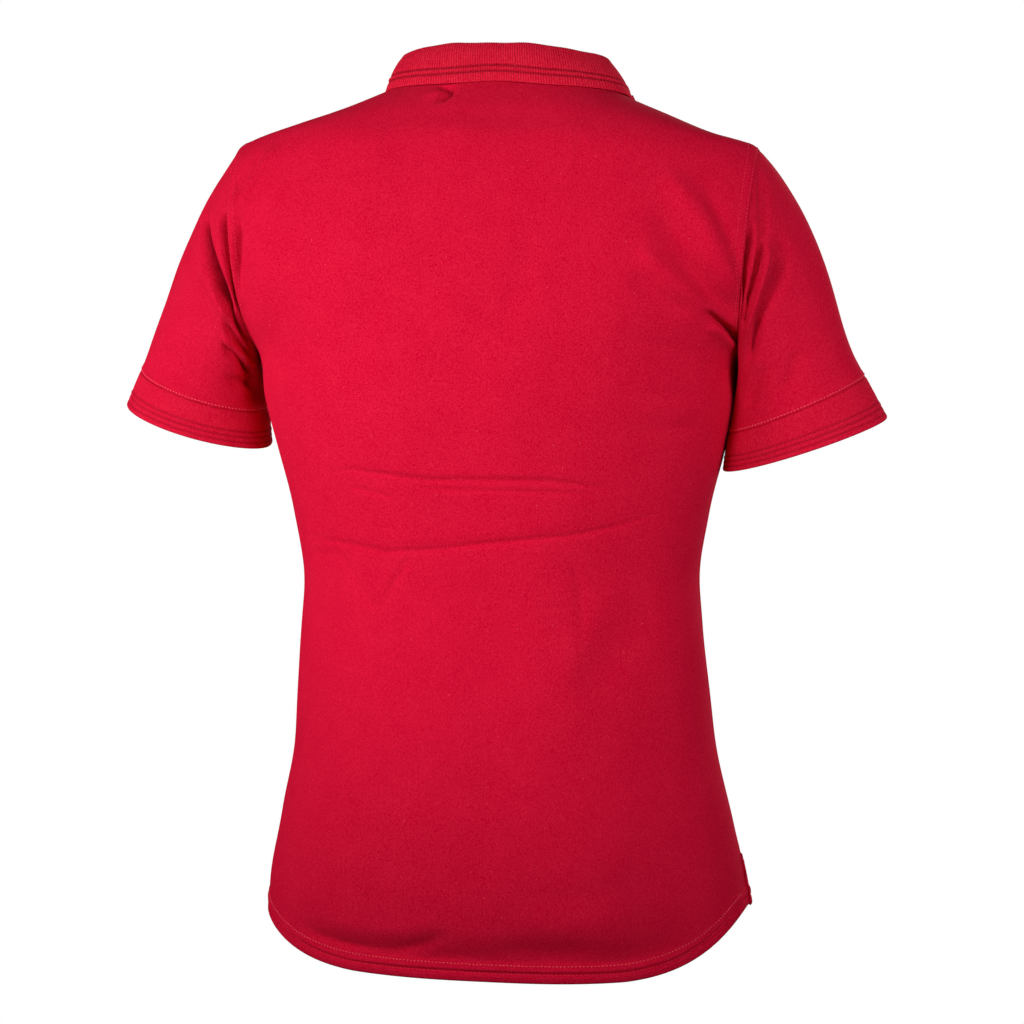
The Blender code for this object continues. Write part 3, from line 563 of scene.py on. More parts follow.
def new_finish(name):
    """A material, its node tree, its shader and its texture coordinates."""
    material = bpy.data.materials.new(name)
    material.use_nodes = True
    tree = material.node_tree
    return material, tree, tree.nodes["Principled BSDF"], node(tree, "TexCoord")


def bumped(tree, shader, height, strength, distance):
    """Gives the shader a fine relief."""
    bump = node(tree, "Bump", {"Height": height, "Strength": strength, "Distance": distance})
    tree.links.new(bump.outputs[0], shader.inputs["Normal"])


# the knit's pitch across and along, half the width of the painted shade over a line knitted in,
# how much of its colour a shut fold keeps under painted shade, the dye's dark and light shades,
# the lint's colour, and a wave texture's scale for one band a metre
WALE = 0.00112
COURSE = 0.0009
LINE_SHADE_WIDTH = 0.0017
FOLD_SHADE = 0.32
DARK_SHADE = (0.87, 0.05, 0.72)
LIGHT_SHADE = (1.15, 7.0, 1.50)
LINT = (0.80, 0.10, 0.12, 1.0)
BAND_SCALE = 0.31416


def knit(name, colour, wale, fuzz, lint=0.12, ribbed=0.0, lines=(), shaded=1.0):
    """Knitted cotton: upright wales and level courses on the UV map, brushed fibre as fine grain.

    Colour goes from a dark to a light shade of the dye by grain, wales and a slow mottle, and a
    few paler lint specks lie on it. The fibre ends are pinker than the dye, so the grain shows
    most in green. Ribbed cloth gets painted shade between its ribs, by that share, and along the
    lines knitted in above its edge, where their grooves lie. Shut folds get painted shade too.
    """
    material, tree, shader, where = new_finish(name)
    way = where.outputs["UV"]
    grain = noise(tree, where, 980.0, 2.0, Roughness=0.70)
    mottle = noise(tree, where, 38.0, 3.0)
    wales = node(tree, "TexWave", {"Vector": way, "Scale": BAND_SCALE / wale,
                                   "Distortion": 0.1 if ribbed else 0.7, "Detail": 1.0,
                                   "Detail Scale": 2.0}, bands_direction="X").outputs["Fac"]
    courses = node(tree, "TexWave", {"Vector": way, "Scale": BAND_SCALE / COURSE, "Distortion": 0.7,
                                     "Detail": 1.0}, bands_direction="Y").outputs["Fac"]
    tone = reckoned(tree, "MULTIPLY", grain, 0.85)
    tone = reckoned(tree, "MULTIPLY_ADD", wales, 0.07, tone)
    tone = reckoned(tree, "MULTIPLY_ADD", mottle, 0.10, tone)
    dye = np.array(colour)
    base = two_tone(tree, tone, (0.38, dye * DARK_SHADE), (0.64, dye * LIGHT_SHADE))
    # painted shade in the valleys between the ribs
    if ribbed:
        base = darkened(tree, base, mapped(tree, wales, {"From Max": 0.55, "To Min": 1 - ribbed}))
    along = node(tree, "SeparateXYZ", {0: way}).outputs["Y"]
    # painted shade along the grooved lines knitted in, darkest at their middles
    for at in lines:
        apart = reckoned(tree, "ABSOLUTE", reckoned(tree, "SUBTRACT", along, at))
        base = darkened(tree, base, mapped(tree, apart, {"From Max": LINE_SHADE_WIDTH, "To Min": shaded},
                                           interpolation_type="SMOOTHSTEP"))
    # painted shade in shut folds: the colour falls towards FOLD_SHADE as the fold shuts
    shut = node(tree, "Attribute", attribute_name="fold").outputs["Fac"]
    base = darkened(tree, base, mapped(tree, shut, {"To Min": 1.0, "To Max": FOLD_SHADE}))
    # lint: the middles of a few of the cells of a coarse scatter
    cell = node(tree, "TexVoronoi", {"Vector": where.outputs["Object"], "Scale": 150.0})
    small = reckoned(tree, "LESS_THAN", cell.outputs["Distance"], 0.075)
    rare = node(tree, "SeparateColor", {"Color": cell.outputs["Color"]}).outputs[0]
    speck = reckoned(tree, "MULTIPLY", small, reckoned(tree, "LESS_THAN", rare, lint))
    mixed = node(tree, "MixRGB", {"Fac": reckoned(tree, "MULTIPLY", speck, 0.5), "Color1": base,
                                  "Color2": LINT})
    tree.links.new(mixed.outputs[0], shader.inputs["Base Color"])
    height = reckoned(tree, "MULTIPLY_ADD", wales, 0.4, grain)
    height = reckoned(tree, "MULTIPLY_ADD", courses, 0.3, height)
    bumped(tree, shader, height, 0.45, 0.0003)
    shader.inputs["Roughness"].default_value = 0.90
    shader.inputs["Specular IOR Level"].default_value = 0.015
    shader.inputs["Sheen Weight"].default_value = fuzz
    shader.inputs["Sheen Roughness"].default_value = 0.45
    shader.inputs["Sheen Tint"].default_value = (1.0, 0.07, 0.12, 1.0)
    return material


def thread_finish(name, colour):
    """Shiny polyester thread: a fine noise for its twist, and a soft gloss."""
    material, tree, shader, where = new_finish(name)
    twist = noise(tree, where, 2400.0, 1.0)
    colour = np.array(colour)
    base = two_tone(tree, twist, (0.3, colour * 0.75), (0.7, colour * 1.15))
    tree.links.new(base, shader.inputs["Base Color"])
    bumped(tree, shader, twist, 0.4, 0.0001)
    shader.inputs["Roughness"].default_value = 0.60
    shader.inputs["Specular IOR Level"].default_value = 0.15
    return material


THREAD = thread_finish("thread", (0.88, 0.090, 0.130))
# the same thread, darker: painted shade for the rows that lie in grooves
SHADED_THREAD = thread_finish("thread_painted_shade", (0.80, 0.030, 0.070))
STITCH_RINGS = 5
STITCH_SIDES = 5


def thread_line(points, beside, at):
    """A line on the cloth that lies at a given value of beside, found along each row of the grid."""
    spots = []
    for path, apart in zip(points, beside):
        order = np.argsort(apart)
        spots.append(read_along(at, apart[order], path[order]))
    return np.array(spots)


def ring_quads(rings, turns):
    """The quads between rings of points that lie one after another."""
    a, b = np.divmod(np.arange((rings - 1) * turns), turns)
    after = (b + 1) % turns
    return np.stack([a * turns + b, a * turns + after, (a + 1) * turns + after, (a + 1) * turns + b], axis=1)


def stitches(name, lines, pitch, length=0.0024, thick=0.00055, finish=THREAD):
    """Sewing thread: every stitch is a short bar, round in section, that dips into the cloth at its ends.

    lines holds pairs of points and the cloth's normals there. Along the bar, s runs from -1 to 1,
    the radius is sqrt(1 - 0.8 s * s) of half the thickness, and the bar sinks by s * s.
    """
    s = np.linspace(-1.0, 1.0, STITCH_RINGS)
    turn = 2 * math.pi * np.arange(STITCH_SIDES) / STITCH_SIDES
    radius = thick / 2 * np.sqrt(1 - 0.8 * s * s)
    centres, ways, ups = [], [], []
    for points, normals in lines:
        run = walked(points, 0)
        at = np.arange(pitch / 2, run[-1], pitch)
        centres.append(read_along(at, run, points))
        ways.append(unit(read_along(at + 0.001, run, points) - read_along(at - 0.001, run, points)))
        ups.append(unit(read_along(at, run, normals)))
    centre, way, up = (np.concatenate(part)[:, None, None] for part in (centres, ways, ups))
    side = np.cross(way, up)
    r = radius[None, :, None, None]
    lift = (thick * (0.22 - 0.62 * s * s))[None, :, None, None]
    points = (centre + way * (s * length / 2)[None, :, None, None]
              + side * r * np.cos(turn)[None, None, :, None]
              + up * (r * np.sin(turn)[None, None, :, None] + lift))
    each = STITCH_RINGS * STITCH_SIDES
    bases = (np.arange(len(points)) * each)[:, None]
    faces = (bases[:, None] + ring_quads(STITCH_RINGS, STITCH_SIDES)).reshape(-1, 4).tolist()
    faces += (bases + np.arange(STITCH_SIDES)[::-1]).tolist()
    faces += (bases + np.arange(each - STITCH_SIDES, each)).tolist()
    mesh = bpy.data.meshes.new(name)
    mesh.from_pydata(points.reshape(-1, 3), [], faces)
    corner = np.cross(points[0, 1, 0] - points[0, 0, 0], points[0, 0, 1] - points[0, 0, 0])
    if np.dot(corner, points[0, 0, 0] - centre[0, 0, 0]) > 0:
        mesh.flip_normals()
    piece = new_piece(name, mesh, finish)
    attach(piece, "root")
    return piece


def panel_threads(face, points, rows, armhole_thick):
    """The panel's sewing: two rows along the hem, one beside each vent, two beside each armhole."""
    normals = panel_normals(face, points)
    from_hem = above_hem(points)
    near = from_hem[:, points.shape[1] // 2] < 0.06
    edge = slice(16, -16)
    hems = [(thread_line(points[near][:, edge].transpose(1, 0, 2), from_hem[near][:, edge].T, at),
             normals[4, edge]) for at in HEM_ROWS]
    armholes, vents = [], []
    top = rows >= 1.0
    for last, side, reach, column in ((False, 0, slice(0, 24), 5), (True, -1, slice(-24, None), -6)):
        apart = walked(points, 1, last)
        for at in ARMHOLE_ROWS:
            line = thread_line(points[top][:, reach], apart[top][:, reach], at)
            armholes.append((line, normals[top][:, column]))
        end, z = HEM_ENDS["level"][int(last)], points[:, side, 2]
        low = (z < end + VENT - 0.004) & (z > end + 0.026)
        line = thread_line(points[low][:, reach], apart[low][:, reach], VENT_ROW)
        vents.append((line, normals[low][:, column]))
    hem_thread = stitches(f"{face}_hem_thread", hems[1:], 0.0030, length=0.0020, thick=0.0008)
    # the lower hem row and the vents' and armholes' rows lie in grooves and take the thread with painted
    # shade
    low_thread = stitches(f"{face}_low_thread", hems[:1] + vents, 0.0032, thick=0.00045,
                          finish=SHADED_THREAD)
    armhole_thread = stitches(f"{face}_armhole_thread", armholes, 0.0033, length=0.0020,
                              thick=armhole_thick, finish=SHADED_THREAD)
    return [hem_thread, low_thread, armhole_thread]


across = across_steps(62)
rows = row_steps(BACK_HEM, 163, 78, 2.2)
back, back_fold_shade = dressed("back", across, rows, BACK_CREASES, 1.0)
back_cloth = knit("knit_back", (0.620, 0.0016, 0.0315), WALE, 0.12)
back_panel = cloth("back_panel", back, JERSEY, back_cloth, (0.0, 0.0, -0.35), folds=back_fold_shade)
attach(back_panel, "root")
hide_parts("back")
back_hem_thread, back_low_thread, back_armhole_thread = panel_threads("back", back, rows, 0.0005)

# ------------------------------------------------------------------------------------------
# Front. Cut like the back, shorter, with a lower neck and a slit at the middle for the placket.
# It isn't shown, so it has a few plain creases like the back's.

FRONT_CREASES = (
    (-1.4, 3, 150, -326, 110, -338, 60, -350, 30, -352),
    (-1.6, 10, 152, -326, 100, -341, 40, -352),
    (-1.2, 3, -146, -318, -110, -330, -60, -342, -30, -343),
    (-1.8, 10, -150, -318, -100, -333, -40, -344),
    (-1.4, 3.2, 130, -390, 80, -402, 20, -409, -30, -408),
    (-1.2, 11, 130, -392, 60, -406, -30, -410),
    (-1.6, 10, -154, -382, -110, -394, -55, -403),
    (3.6, 10, 132, -100, 158, -135, 182, -182),
    (-3.8, 8.5, 134, -142, 160, -170, 184, -203),
    (4.2, 15, -190, -200, -192, -225, -190, -255, -184, -290),
    (3.6, 10, -130, -95, -158, -136, -184, -184),
    (-3.6, 8.5, -128, -145, -156, -172, -182, -204),
    (2, 11, 100, -175, 140, -200, 176, -222),
    (-1.8, 15, 112, -465, 90, -510, 62, -560),
    (-1.8, 17, -88, -475, -104, -530, -122, -590),
    (1.4, 16, -50, -480, -62, -540, -74, -600),
    (-1.2, 12, 30, -230, 18, -270, 12, -300),
    (-1.8, 7, -120, -660, -60, -668, 10, -664),
)
SLIT_ROWS = 11 / 13

front_across = across_steps(50)
front_rows = row_steps(FRONT_HEM, 112, 65, 1.4)
front, front_fold_shade = dressed("front", front_across, front_rows, FRONT_CREASES, 4.0)
front_cloth = knit("knit_front", (0.620, 0.0016, 0.0315), WALE, 0.12)
kept = np.ones((len(front_rows) - 1, len(front_across) - 1), bool)
middle = len(front_across) // 2
kept[front_rows[:-1] > 2.0 - SLIT_ROWS - 1e-6, middle - SLIT_COLUMNS:middle + SLIT_COLUMNS] = False
front_panel = cloth("front_panel", front, JERSEY, front_cloth, (0.0, 0.0, -0.35), keep=kept,
                    folds=front_fold_shade)
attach(front_panel, "root")
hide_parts("front")
front_hem_thread, front_low_thread, front_armhole_thread = panel_threads("front", front, front_rows, 0.00045)

# ------------------------------------------------------------------------------------------
# Sleeves. Short set-in sleeves of the same knit, each one tube sewn under the arm. The cloth
# breaks into upright folds beside the armhole and hangs smoothly over the arm.

SLEEVES = columns(
    "side seam_out_x seam_out_z seam_in_x seam_in_z "
    "edge_out_x edge_out_z edge_in_x edge_in_z drop bulge", (
        (1, 0.3050, -0.2355, 0.1965, -0.2690, 0.3165, -0.2650, 0.1925, -0.2990, 0.012, 0.215),
        (-1, 0.2995, -0.2365, 0.1898, -0.2820, 0.3185, -0.2690, 0.1866, -0.3130, 0.010, 0.207),
    ))
SLEEVE_HALF_DEPTH = 0.046
SLEEVE_FORWARD = -0.010
UNDERARM_BULGE = 0.060
CUFF_FLARE = 0.001
SLEEVE_GIRTH = 0.40
SLEEVE_LENGTH = 0.20
SLEEVE_STEPS = 88
CUFF_ROW = 0.0022

# Creases as on the body, but with points in hundredths of the girth (from the shoulder tip
# round the back) and of the length.
SLEEVE_CREASES = {
    1: (
        (-6, 8.5, 7, 26.5, 13.5, 27.5, 18.5, 27, 24, 24.5, 28.5, 21.5, 34, 17),
        (-9, 3.6, 8, 26.5, 15, 27.2, 20, 26.2, 24, 25, 27.5, 24.2, 30.5, 23.2),
        (3.6, 5.6, 14, 10, 20, 10.8, 25, 9.5, 29, 8, 34, 6.2),
        (-8, 5.2, 18, 4, 23.5, 3.6, 27.5, 2.8, 31.5, 2.2, 37, 2),
        (-9.5, 2.8, 19, 3.4, 23, 3.2, 26.2, 3, 29, 3, 34.5, 3.6),
        (-6, 15, 40, 40, 43, 58, 45, 78, 46, 110),
        (3.6, 9, 16, 37, 22, 33.5, 27, 31.5, 33, 28),
        (-10, 8.6, 23, 28, 27.5, 25, 30.5, 21, 36, 16, 44, 10),
        (-6, 8, 30, 41, 34.5, 34, 40, 28, 46, 22),
        (3, 7, 31, 49, 35.5, 42, 42, 37),
        (-5, 7.5, 31, 56, 36, 48, 40.5, 48, 46, 50),
        (-3.4, 9, 34, 78, 39, 70, 45, 67),
        (-4, 7.5, 68, 12, 72, 30, 70, 62),
        (3, 8, 75, 10, 79, 32, 76, 60),
        (-2.4, 9, 86, 20, 84, 50, 80, 80),
    ),
    -1: (
        (-10, 5.2, 19.5, 5, 23.5, 5.5, 26.8, 5.5, 30, 7, 33, 9, 37, 12),
        (-8.4, 5.6, 18.5, 16, 22.8, 17.5, 25, 19, 28, 20, 31, 19.5, 35, 19),
        (1.8, 3.6, 20.5, 11, 24, 11.8, 27.5, 13),
        (4.2, 6.6, 17, 22, 22.3, 25, 26.3, 27, 30, 28.5, 35, 33),
        (-7.4, 11, 12.5, 27, 15, 32, 18.8, 35.5, 23.8, 35, 28, 37, 32, 45, 35.2, 55),
        (-4, 7, 9.5, 5, 14, 8, 17.2, 14, 19, 19),
        (-3, 10, 19, 70, 22.5, 80, 27, 86),
        (-2.4, 11, 30, 60, 34, 72, 36, 84),
        (-4, 7.5, 70, 12, 73, 32, 69, 64),
        (3, 8, 77, 10, 80, 30, 78, 62),
        (-2.2, 10, 88, 22, 85, 55, 82, 78),
    ),
}


def sleeve_row(side):
    """A side's own row of the table of sleeves, by column name."""
    row = int(np.flatnonzero(SLEEVES["side"] == side)[0])
    return {name: values[row] for name, values in SLEEVES.items()}


def cuff_loop(size, end, fraction, grow=0.0):
    """An oval through the outer and the inner end: middle + wide * cos + deep * sin."""
    side = size["side"]
    outer = np.array([side * size[end + "_out_x"], SLEEVE_FORWARD, size[end + "_out_z"]])
    inner = np.array([side * size[end + "_in_x"], SLEEVE_FORWARD, size[end + "_in_z"]])
    deep = np.array([0.0, SLEEVE_HALF_DEPTH + grow, -size["drop"]])
    turn = 2 * math.pi * fraction[:, None]
    return (outer + inner) / 2 + (outer - inner) / 2 * np.cos(turn) + deep * np.sin(turn)


def armhole(side):
    """The armhole's loop from the shoulder tip down the back and up the front, and the way across it."""
    edge = []
    last, before = (-1, -6) if side > 0 else (0, 5)
    for points, steps in ((back, rows), (front, front_rows)):
        top = points[steps >= 1.0]
        edge.append((top[:, last], unit(top[:, last] - top[:, before])))
    (a, a_out), (b, b_out) = edge
    loop = np.concatenate([a[::-1], b[1:-1]])
    out = np.concatenate([a_out[::-1], b_out[1:-1]])
    # one more point on the middle of each edge, for the folds
    loop = np.stack([loop, (loop + np.roll(loop, -1, axis=0)) / 2], axis=1).reshape(-1, 3)
    out = unit(np.stack([out, out + np.roll(out, -1, axis=0)], axis=1)).reshape(-1, 3)
    # evened along the loop with a bell of a few centimetres, so that the sleeve takes no ridges
    out = unit(sum(bell(k, 14) * np.roll(out, k, axis=0) for k in range(-36, 37)))
    return loop, out, 2 * (len(a) - 1)


def loop_fraction(loop, half):
    """How far round each point lies: 0 at the shoulder tip, 1/2 at the armpit."""
    run = walked(np.concatenate([loop, loop[:1]]), 0)
    first = 0.5 * run[:half + 1] / run[half]
    return np.concatenate([first, 0.5 + 0.5 * (run[half + 1:-1] - run[half]) / (run[-1] - run[half])])


def tube_normals(points):
    """A tube's unit normals, away from its middle."""
    normals = grid_normals(points, closed=True)
    ring = len(points) // 2
    out = (normals[ring] * (points[ring] - points[ring].mean(axis=0))).sum()
    return normals if out > 0 else -normals


sleeve_cloth = knit("knit_sleeves", (0.628, 0.0018, 0.0325), WALE, 0.13)
for side, word in ((1, "left"), (-1, "right")):
    # each line down the sleeve is a cubic that leaves the armhole across the seam and runs
    # into the cuff in the cuff's own direction
    size = sleeve_row(side)
    loop, out, half = armhole(side)
    fraction = loop_fraction(loop, half)
    seam = cuff_loop(size, "seam", fraction)
    down = cuff_loop(size, "edge", fraction, CUFF_FLARE) - seam
    axis = unit(seam.mean(axis=0) - loop.mean(axis=0))
    under = (0.5 - 0.5 * np.cos(2 * math.pi * fraction))[:, None]
    sink = np.array([0.0, 0.0, -0.55])
    start = unit(out * (0.92 - 0.90 * under) + axis * (0.28 + 0.17 * under) + sink * under)
    start = start * (size["bulge"] + (UNDERARM_BULGE - size["bulge"]) * under)
    arrive = unit(down) * (0.18 - 0.10 * under)
    t = np.arange(SLEEVE_STEPS + 1) / SLEEVE_STEPS
    along = 0.55 * t ** 1.2 + 0.45 * (1 - (1 - t) ** 1.5)
    v = along[:, None, None]
    points = ((1 + 2 * v) * (1 - v) ** 2 * loop + v * (1 - v) ** 2 * start
              + v * v * (3 - 2 * v) * seam + v * v * (v - 1) * arrive)
    normals = tube_normals(points)
    from_armhole = walked(points, 0)
    from_cuff = walked(points, 0, True)
    height = creased(fraction[None, :] * SLEEVE_GIRTH, along[:, None] * SLEEVE_LENGTH,
                     SLEEVE_CREASES[side], (100 / SLEEVE_GIRTH, 100 / SLEEVE_LENGTH))
    height = height * ease(from_armhole / 0.003) * ease(from_cuff / 0.012)
    # how far each fold is shut, for the shade painted into it
    folds = shaded_folds(height)
    loose = ease(from_armhole / 0.03) * ease(from_cuff / 0.02)
    height += slack(points[..., 0], points[..., 2], 2.0 + side) * loose
    # drawn in at both seams, with a stitched band above the cuff
    height -= 0.0006 * bell(from_armhole, 0.0018)
    height -= 0.0004 * bell(from_cuff, 0.0012)
    height -= 0.0002 * bell(from_cuff - CUFF_ROW, 0.0009)
    height += 0.0004 * (1 - ease((from_cuff - 0.004) / 0.002)) * ease(from_cuff / 0.001)
    points = points + height[..., None] * normals
    piece = cloth(f"{word}_sleeve", points, JERSEY, sleeve_cloth, points.mean(axis=(0, 1)), closed=True,
                  folds=folds)
    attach(piece, "root")
    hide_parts(f"sleeve_{word}")
    line = thread_line(points[-20:].transpose(1, 0, 2), from_cuff[-20:].T, CUFF_ROW)
    line = np.concatenate([line, line[:1]])
    ups = np.concatenate([normals[-4], normals[-4][:1]])
    thread = stitches(f"{word}_cuff_thread", [(line, ups)], 0.0029, length=0.0020,
                      thick=0.0008)

# ------------------------------------------------------------------------------------------
# Cuffs. Flat-knitted 1 x 1 rib bands sewn to the sleeves, with three lines knitted in near the
# edge where the bed skips a course. The ribs run up and down.

RIB = 0.0018
CUFF_LINES = (0.0045, 0.0090, 0.0135)
CUFF_POINTS = 4 * 206
CUFF_PITCH = 0.0016
CUFF_RELIEF = 0.00007
CUFF_GROOVE = 0.0011
# four points to a rib, one of them in its narrow valley
RIB_SHAPE = np.array([1.0, 0.5, -1.6, 0.5])

# the cuffs get painted shade between their ribs and along their three lines
cuff_cloth = knit("rib_cuffs", (0.640, 0.0022, 0.0330), CUFF_PITCH, 0.12, lint=0.04, ribbed=0.04,
                  lines=CUFF_LINES, shaded=0.72)
for side, word in ((1, "left"), (-1, "right")):
    # points evenly spaced round the seam
    size = sleeve_row(side)
    fine = np.append(np.arange(4 * CUFF_POINTS) / (4 * CUFF_POINTS), 1.0)
    run = walked(cuff_loop(size, "seam", fine), 0)
    around = np.interp(np.arange(CUFF_POINTS) / CUFF_POINTS * run[-1], run, fine)
    seam = cuff_loop(size, "seam", around)
    down = cuff_loop(size, "edge", around, CUFF_FLARE) - seam
    deep = np.linalg.norm(down, axis=-1).mean()
    # rows close together across the lines and at the rounded edge
    from_edge = np.concatenate([np.linspace(deep, deep - 0.003, 4), np.linspace(deep - 0.006, 0.0155, 4),
                                np.arange(14.3, 1.2, -1.12) / 1000, [0.0010, 0.0003, 0.0]])
    past = (1 - from_edge / deep)[:, None, None]
    points = seam + past * down
    normals = tube_normals(points)
    rib = RIB_SHAPE[np.arange(CUFF_POINTS) % 4][None, :] * np.ones((len(from_edge), 1))
    d = from_edge[:, None]
    grooves = sum(bell(d - at, 0.0010) for at in CUFF_LINES)
    grooves = grooves * (1 - 0.8 * np.cos(2 * math.pi * around) ** 8)
    height = CUFF_RELIEF * rib * ease((deep - d) / 0.003) * ease(d / 0.003)
    height = height * (1 - 0.6 * np.clip(grooves, 0, 1))
    height = height + 0.0003 - CUFF_GROOVE * grooves + 0.0003 * bell(d - 0.0112, 0.0012)
    height = height - 0.0006 * bell(deep - d, 0.0012) - 0.0008 * rounded(d, 0.0012)
    points = points + height[..., None] * normals
    wave = 0.0006 * np.sin(6 * math.pi * around + side) * np.sin(math.pi * past[:, 0] / 2)
    points += wave[..., None] * normals
    piece = cloth(f"{word}_cuff", points, RIB, cuff_cloth, points.mean(axis=(0, 1)), closed=True,
                  ribs=(np.arange(CUFF_POINTS + 1) - 2) * CUFF_PITCH / 4, depths=d)
    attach(piece, "root")
    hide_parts(f"cuff_{word}")

# ------------------------------------------------------------------------------------------
# Placket. Two strips of the body's knit at the front slit: the inner one fills the slit, the
# outer one is folded, topstitched all round and lies over it. Both follow the front's form.

SLIT_HALF_WIDTH = 0.012
OVER_HALF_WIDTH = 0.015
OVER_LONGER = 0.5 / 13
PLACKET = 0.0015
OVER_CLEAR = 0.0004
EDGE_ROW = 0.0028
CROSS_ROW = 0.0110


def placket_points(half, down, count, steps):
    """Points on the front's outside, from down (in the front's row units) up to the neck, and normals."""
    strip = np.linspace(-1.0, 1.0, count) * half / SHOULDER_TIP
    points = panel_points("front", strip, 2.0 - np.linspace(down, 0.0, steps))
    return points, panel_normals("front", points)


placket_cloth = knit("knit_placket", (0.610, 0.0016, 0.0310), WALE, 0.12)
points, normals = placket_points(SLIT_HALF_WIDTH - SEAM_GAP, SLIT_ROWS, 15, 80)
points[0, :, 2] += SEAM_GAP
placket_under = cloth("placket_inner", points, JERSEY, placket_cloth, (0.0, 0.0, -0.2))
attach(placket_under, "root")
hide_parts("placket_under")

points, normals = placket_points(OVER_HALF_WIDTH, SLIT_ROWS + OVER_LONGER, 33, 150)
across_strip = walked(points, 1)
wide = across_strip[:, -1:].mean()
edge = np.minimum(np.minimum(across_strip, wide - across_strip), walked(points, 0))
rise = SEAM_GAP + PLACKET + OVER_CLEAR - 0.0006 * rounded(edge, 0.0012)
rise = rise - 0.0005 * bell(edge - EDGE_ROW, 0.0009)
rise = rise - 0.0004 * bell(walked(points, 0) - CROSS_ROW, 0.0009)
strip = points + rise[..., None] * normals
placket_over = cloth("placket_outer", strip, PLACKET, placket_cloth, (0.0, 0.0, -0.2))
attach(placket_over, "root")
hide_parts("placket_over")
lines = [(thread_line(strip, across_strip, at), normals[:, 4]) for at in (EDGE_ROW, wide - EDGE_ROW)]
up_strip = walked(strip, 0)
lines += [(thread_line(strip[:30].transpose(1, 0, 2), up_strip[:30].T, at)[2:-2], normals[4, 2:-2])
          for at in (EDGE_ROW, CROSS_ROW)]
placket_thread = stitches("placket_thread", lines, 0.0028)

# ------------------------------------------------------------------------------------------
# Buttons. Three small four-hole buttons of dyed resin, turned with a rounded rim and a dished
# face, sewn on with crossed thread over worked buttonholes.

BUTTON_RADIUS = 0.00575
BUTTON_THICK = 0.0025
BUTTON_DROPS = (0.014, 0.066, 0.118)
BUTTON_FACE = 0.66
HOLE_APART = 0.00125
HOLE_RADIUS = 0.00070
HOLE_DEPTH = 0.0013
BUTTONHOLE_HALF_WIDTH = 0.0010
BUTTONHOLE_HALF_LENGTH = 0.0068
BUTTON_RINGS, BUTTON_TURNS = 56, 48
# a turned profile: radius and height from the centre of the face, over the rim, to the centre
# of the underside, as shares of the button's own
PROFILE_RADIUS = np.array([0.02, 0.12, 0.24, 0.36, 0.46, 0.54, 0.60, 0.68, 0.78, 0.88, 0.95, 0.99, 1.0,
                           0.99, 0.94, 0.80, 0.40])
PROFILE_HEIGHT = np.array([0.66, 0.66, 0.66, 0.66, 0.66, 0.67, 0.72, 0.86, 0.97, 1.0, 0.94, 0.80, 0.58,
                           0.34, 0.18, 0.08, 0.0])

resin, tree, shader, where = new_finish("button_resin")
swirl = noise(tree, where, 260.0, 4.0, Distortion=1.2)
base = two_tone(tree, swirl, (0.0, (0.30, 0.004, 0.018)), (1.0, (0.50, 0.012, 0.040)))
tree.links.new(base, shader.inputs["Base Color"])
gloss = mapped(tree, noise(tree, where, 900.0, 2.0), {"To Min": 0.24, "To Max": 0.42})
tree.links.new(gloss, shader.inputs["Roughness"])
shader.inputs["Coat Weight"].default_value = 0.25

points, normals = placket_points(OVER_HALF_WIDTH, SLIT_ROWS, 3, 120)
line, ups = points[::-1, 1], normals[::-1, 1]
run = walked(line, 0)
steps = np.linspace(0, len(PROFILE_RADIUS) - 1, BUTTON_RINGS + 1)
r, h = (np.interp(steps, np.arange(len(profile)), profile) for profile in (PROFILE_RADIUS, PROFILE_HEIGHT))
turn = 2 * math.pi * np.arange(BUTTON_TURNS) / BUTTON_TURNS
px = BUTTON_RADIUS * r[:, None] * np.cos(turn)
py = BUTTON_RADIUS * r[:, None] * np.sin(turn)
# the four holes are wells in the face
hole = np.hypot(np.abs(px) - HOLE_APART, np.abs(py) - HOLE_APART)
on_face = (np.arange(BUTTON_RINGS + 1) < BUTTON_RINGS / 2)[:, None]
well = HOLE_DEPTH * (1 - ease((hole - 0.5 * HOLE_RADIUS) / (0.6 * HOLE_RADIUS))) * on_face
pz = BUTTON_THICK * h[:, None] - well
faces = ring_quads(BUTTON_RINGS + 1, BUTTON_TURNS)[:, [0, 3, 2, 1]].tolist()
last_ring = BUTTON_RINGS * BUTTON_TURNS
faces += [list(range(BUTTON_TURNS)), list(range(last_ring + BUTTON_TURNS - 1, last_ring - 1, -1))]
crossed, worked = [], []
for number, drop in enumerate(BUTTON_DROPS, 1):
    spot = read_along(drop, run, line)
    ahead = read_along(drop + 0.002, run, line)
    up = unit(read_along(drop, run, ups))
    way = unit(ahead - spot - np.dot(ahead - spot, up) * up)
    side = np.cross(way, up)
    base = spot + up * (2 * SEAM_GAP + PLACKET + OVER_CLEAR)
    disc = base + px[..., None] * side + py[..., None] * way + pz[..., None] * up
    mesh = bpy.data.meshes.new(f"sewn_button_{number}")
    mesh.from_pydata(disc.reshape(-1, 3), [], faces)
    if np.dot(np.cross(side, way), up) < 0:
        mesh.flip_normals()
    button = new_piece(f"sewn_button_{number}", mesh, resin)
    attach(button, "root")
    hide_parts(f"button_{number}")
    # a cross of thread through the holes, and two worked edges along the buttonhole
    top = base + up * (BUTTON_THICK * BUTTON_FACE + 0.0001)
    over = spot + up * (SEAM_GAP + PLACKET + OVER_CLEAR)
    for a in (-1, 1):
        ends = [top + HOLE_APART * (k * a * side + k * way) for k in (-1, 0, 1)]
        crossed.append((np.array(ends), np.array([up] * 3)))
        ends = [over + a * BUTTONHOLE_HALF_WIDTH * side + k * BUTTONHOLE_HALF_LENGTH * way
                for k in (-1, 0, 1)]
        worked.append((np.array(ends), np.array([up] * 3)))
stitches("button_thread", crossed, 0.0034, length=0.0036, thick=0.0007)
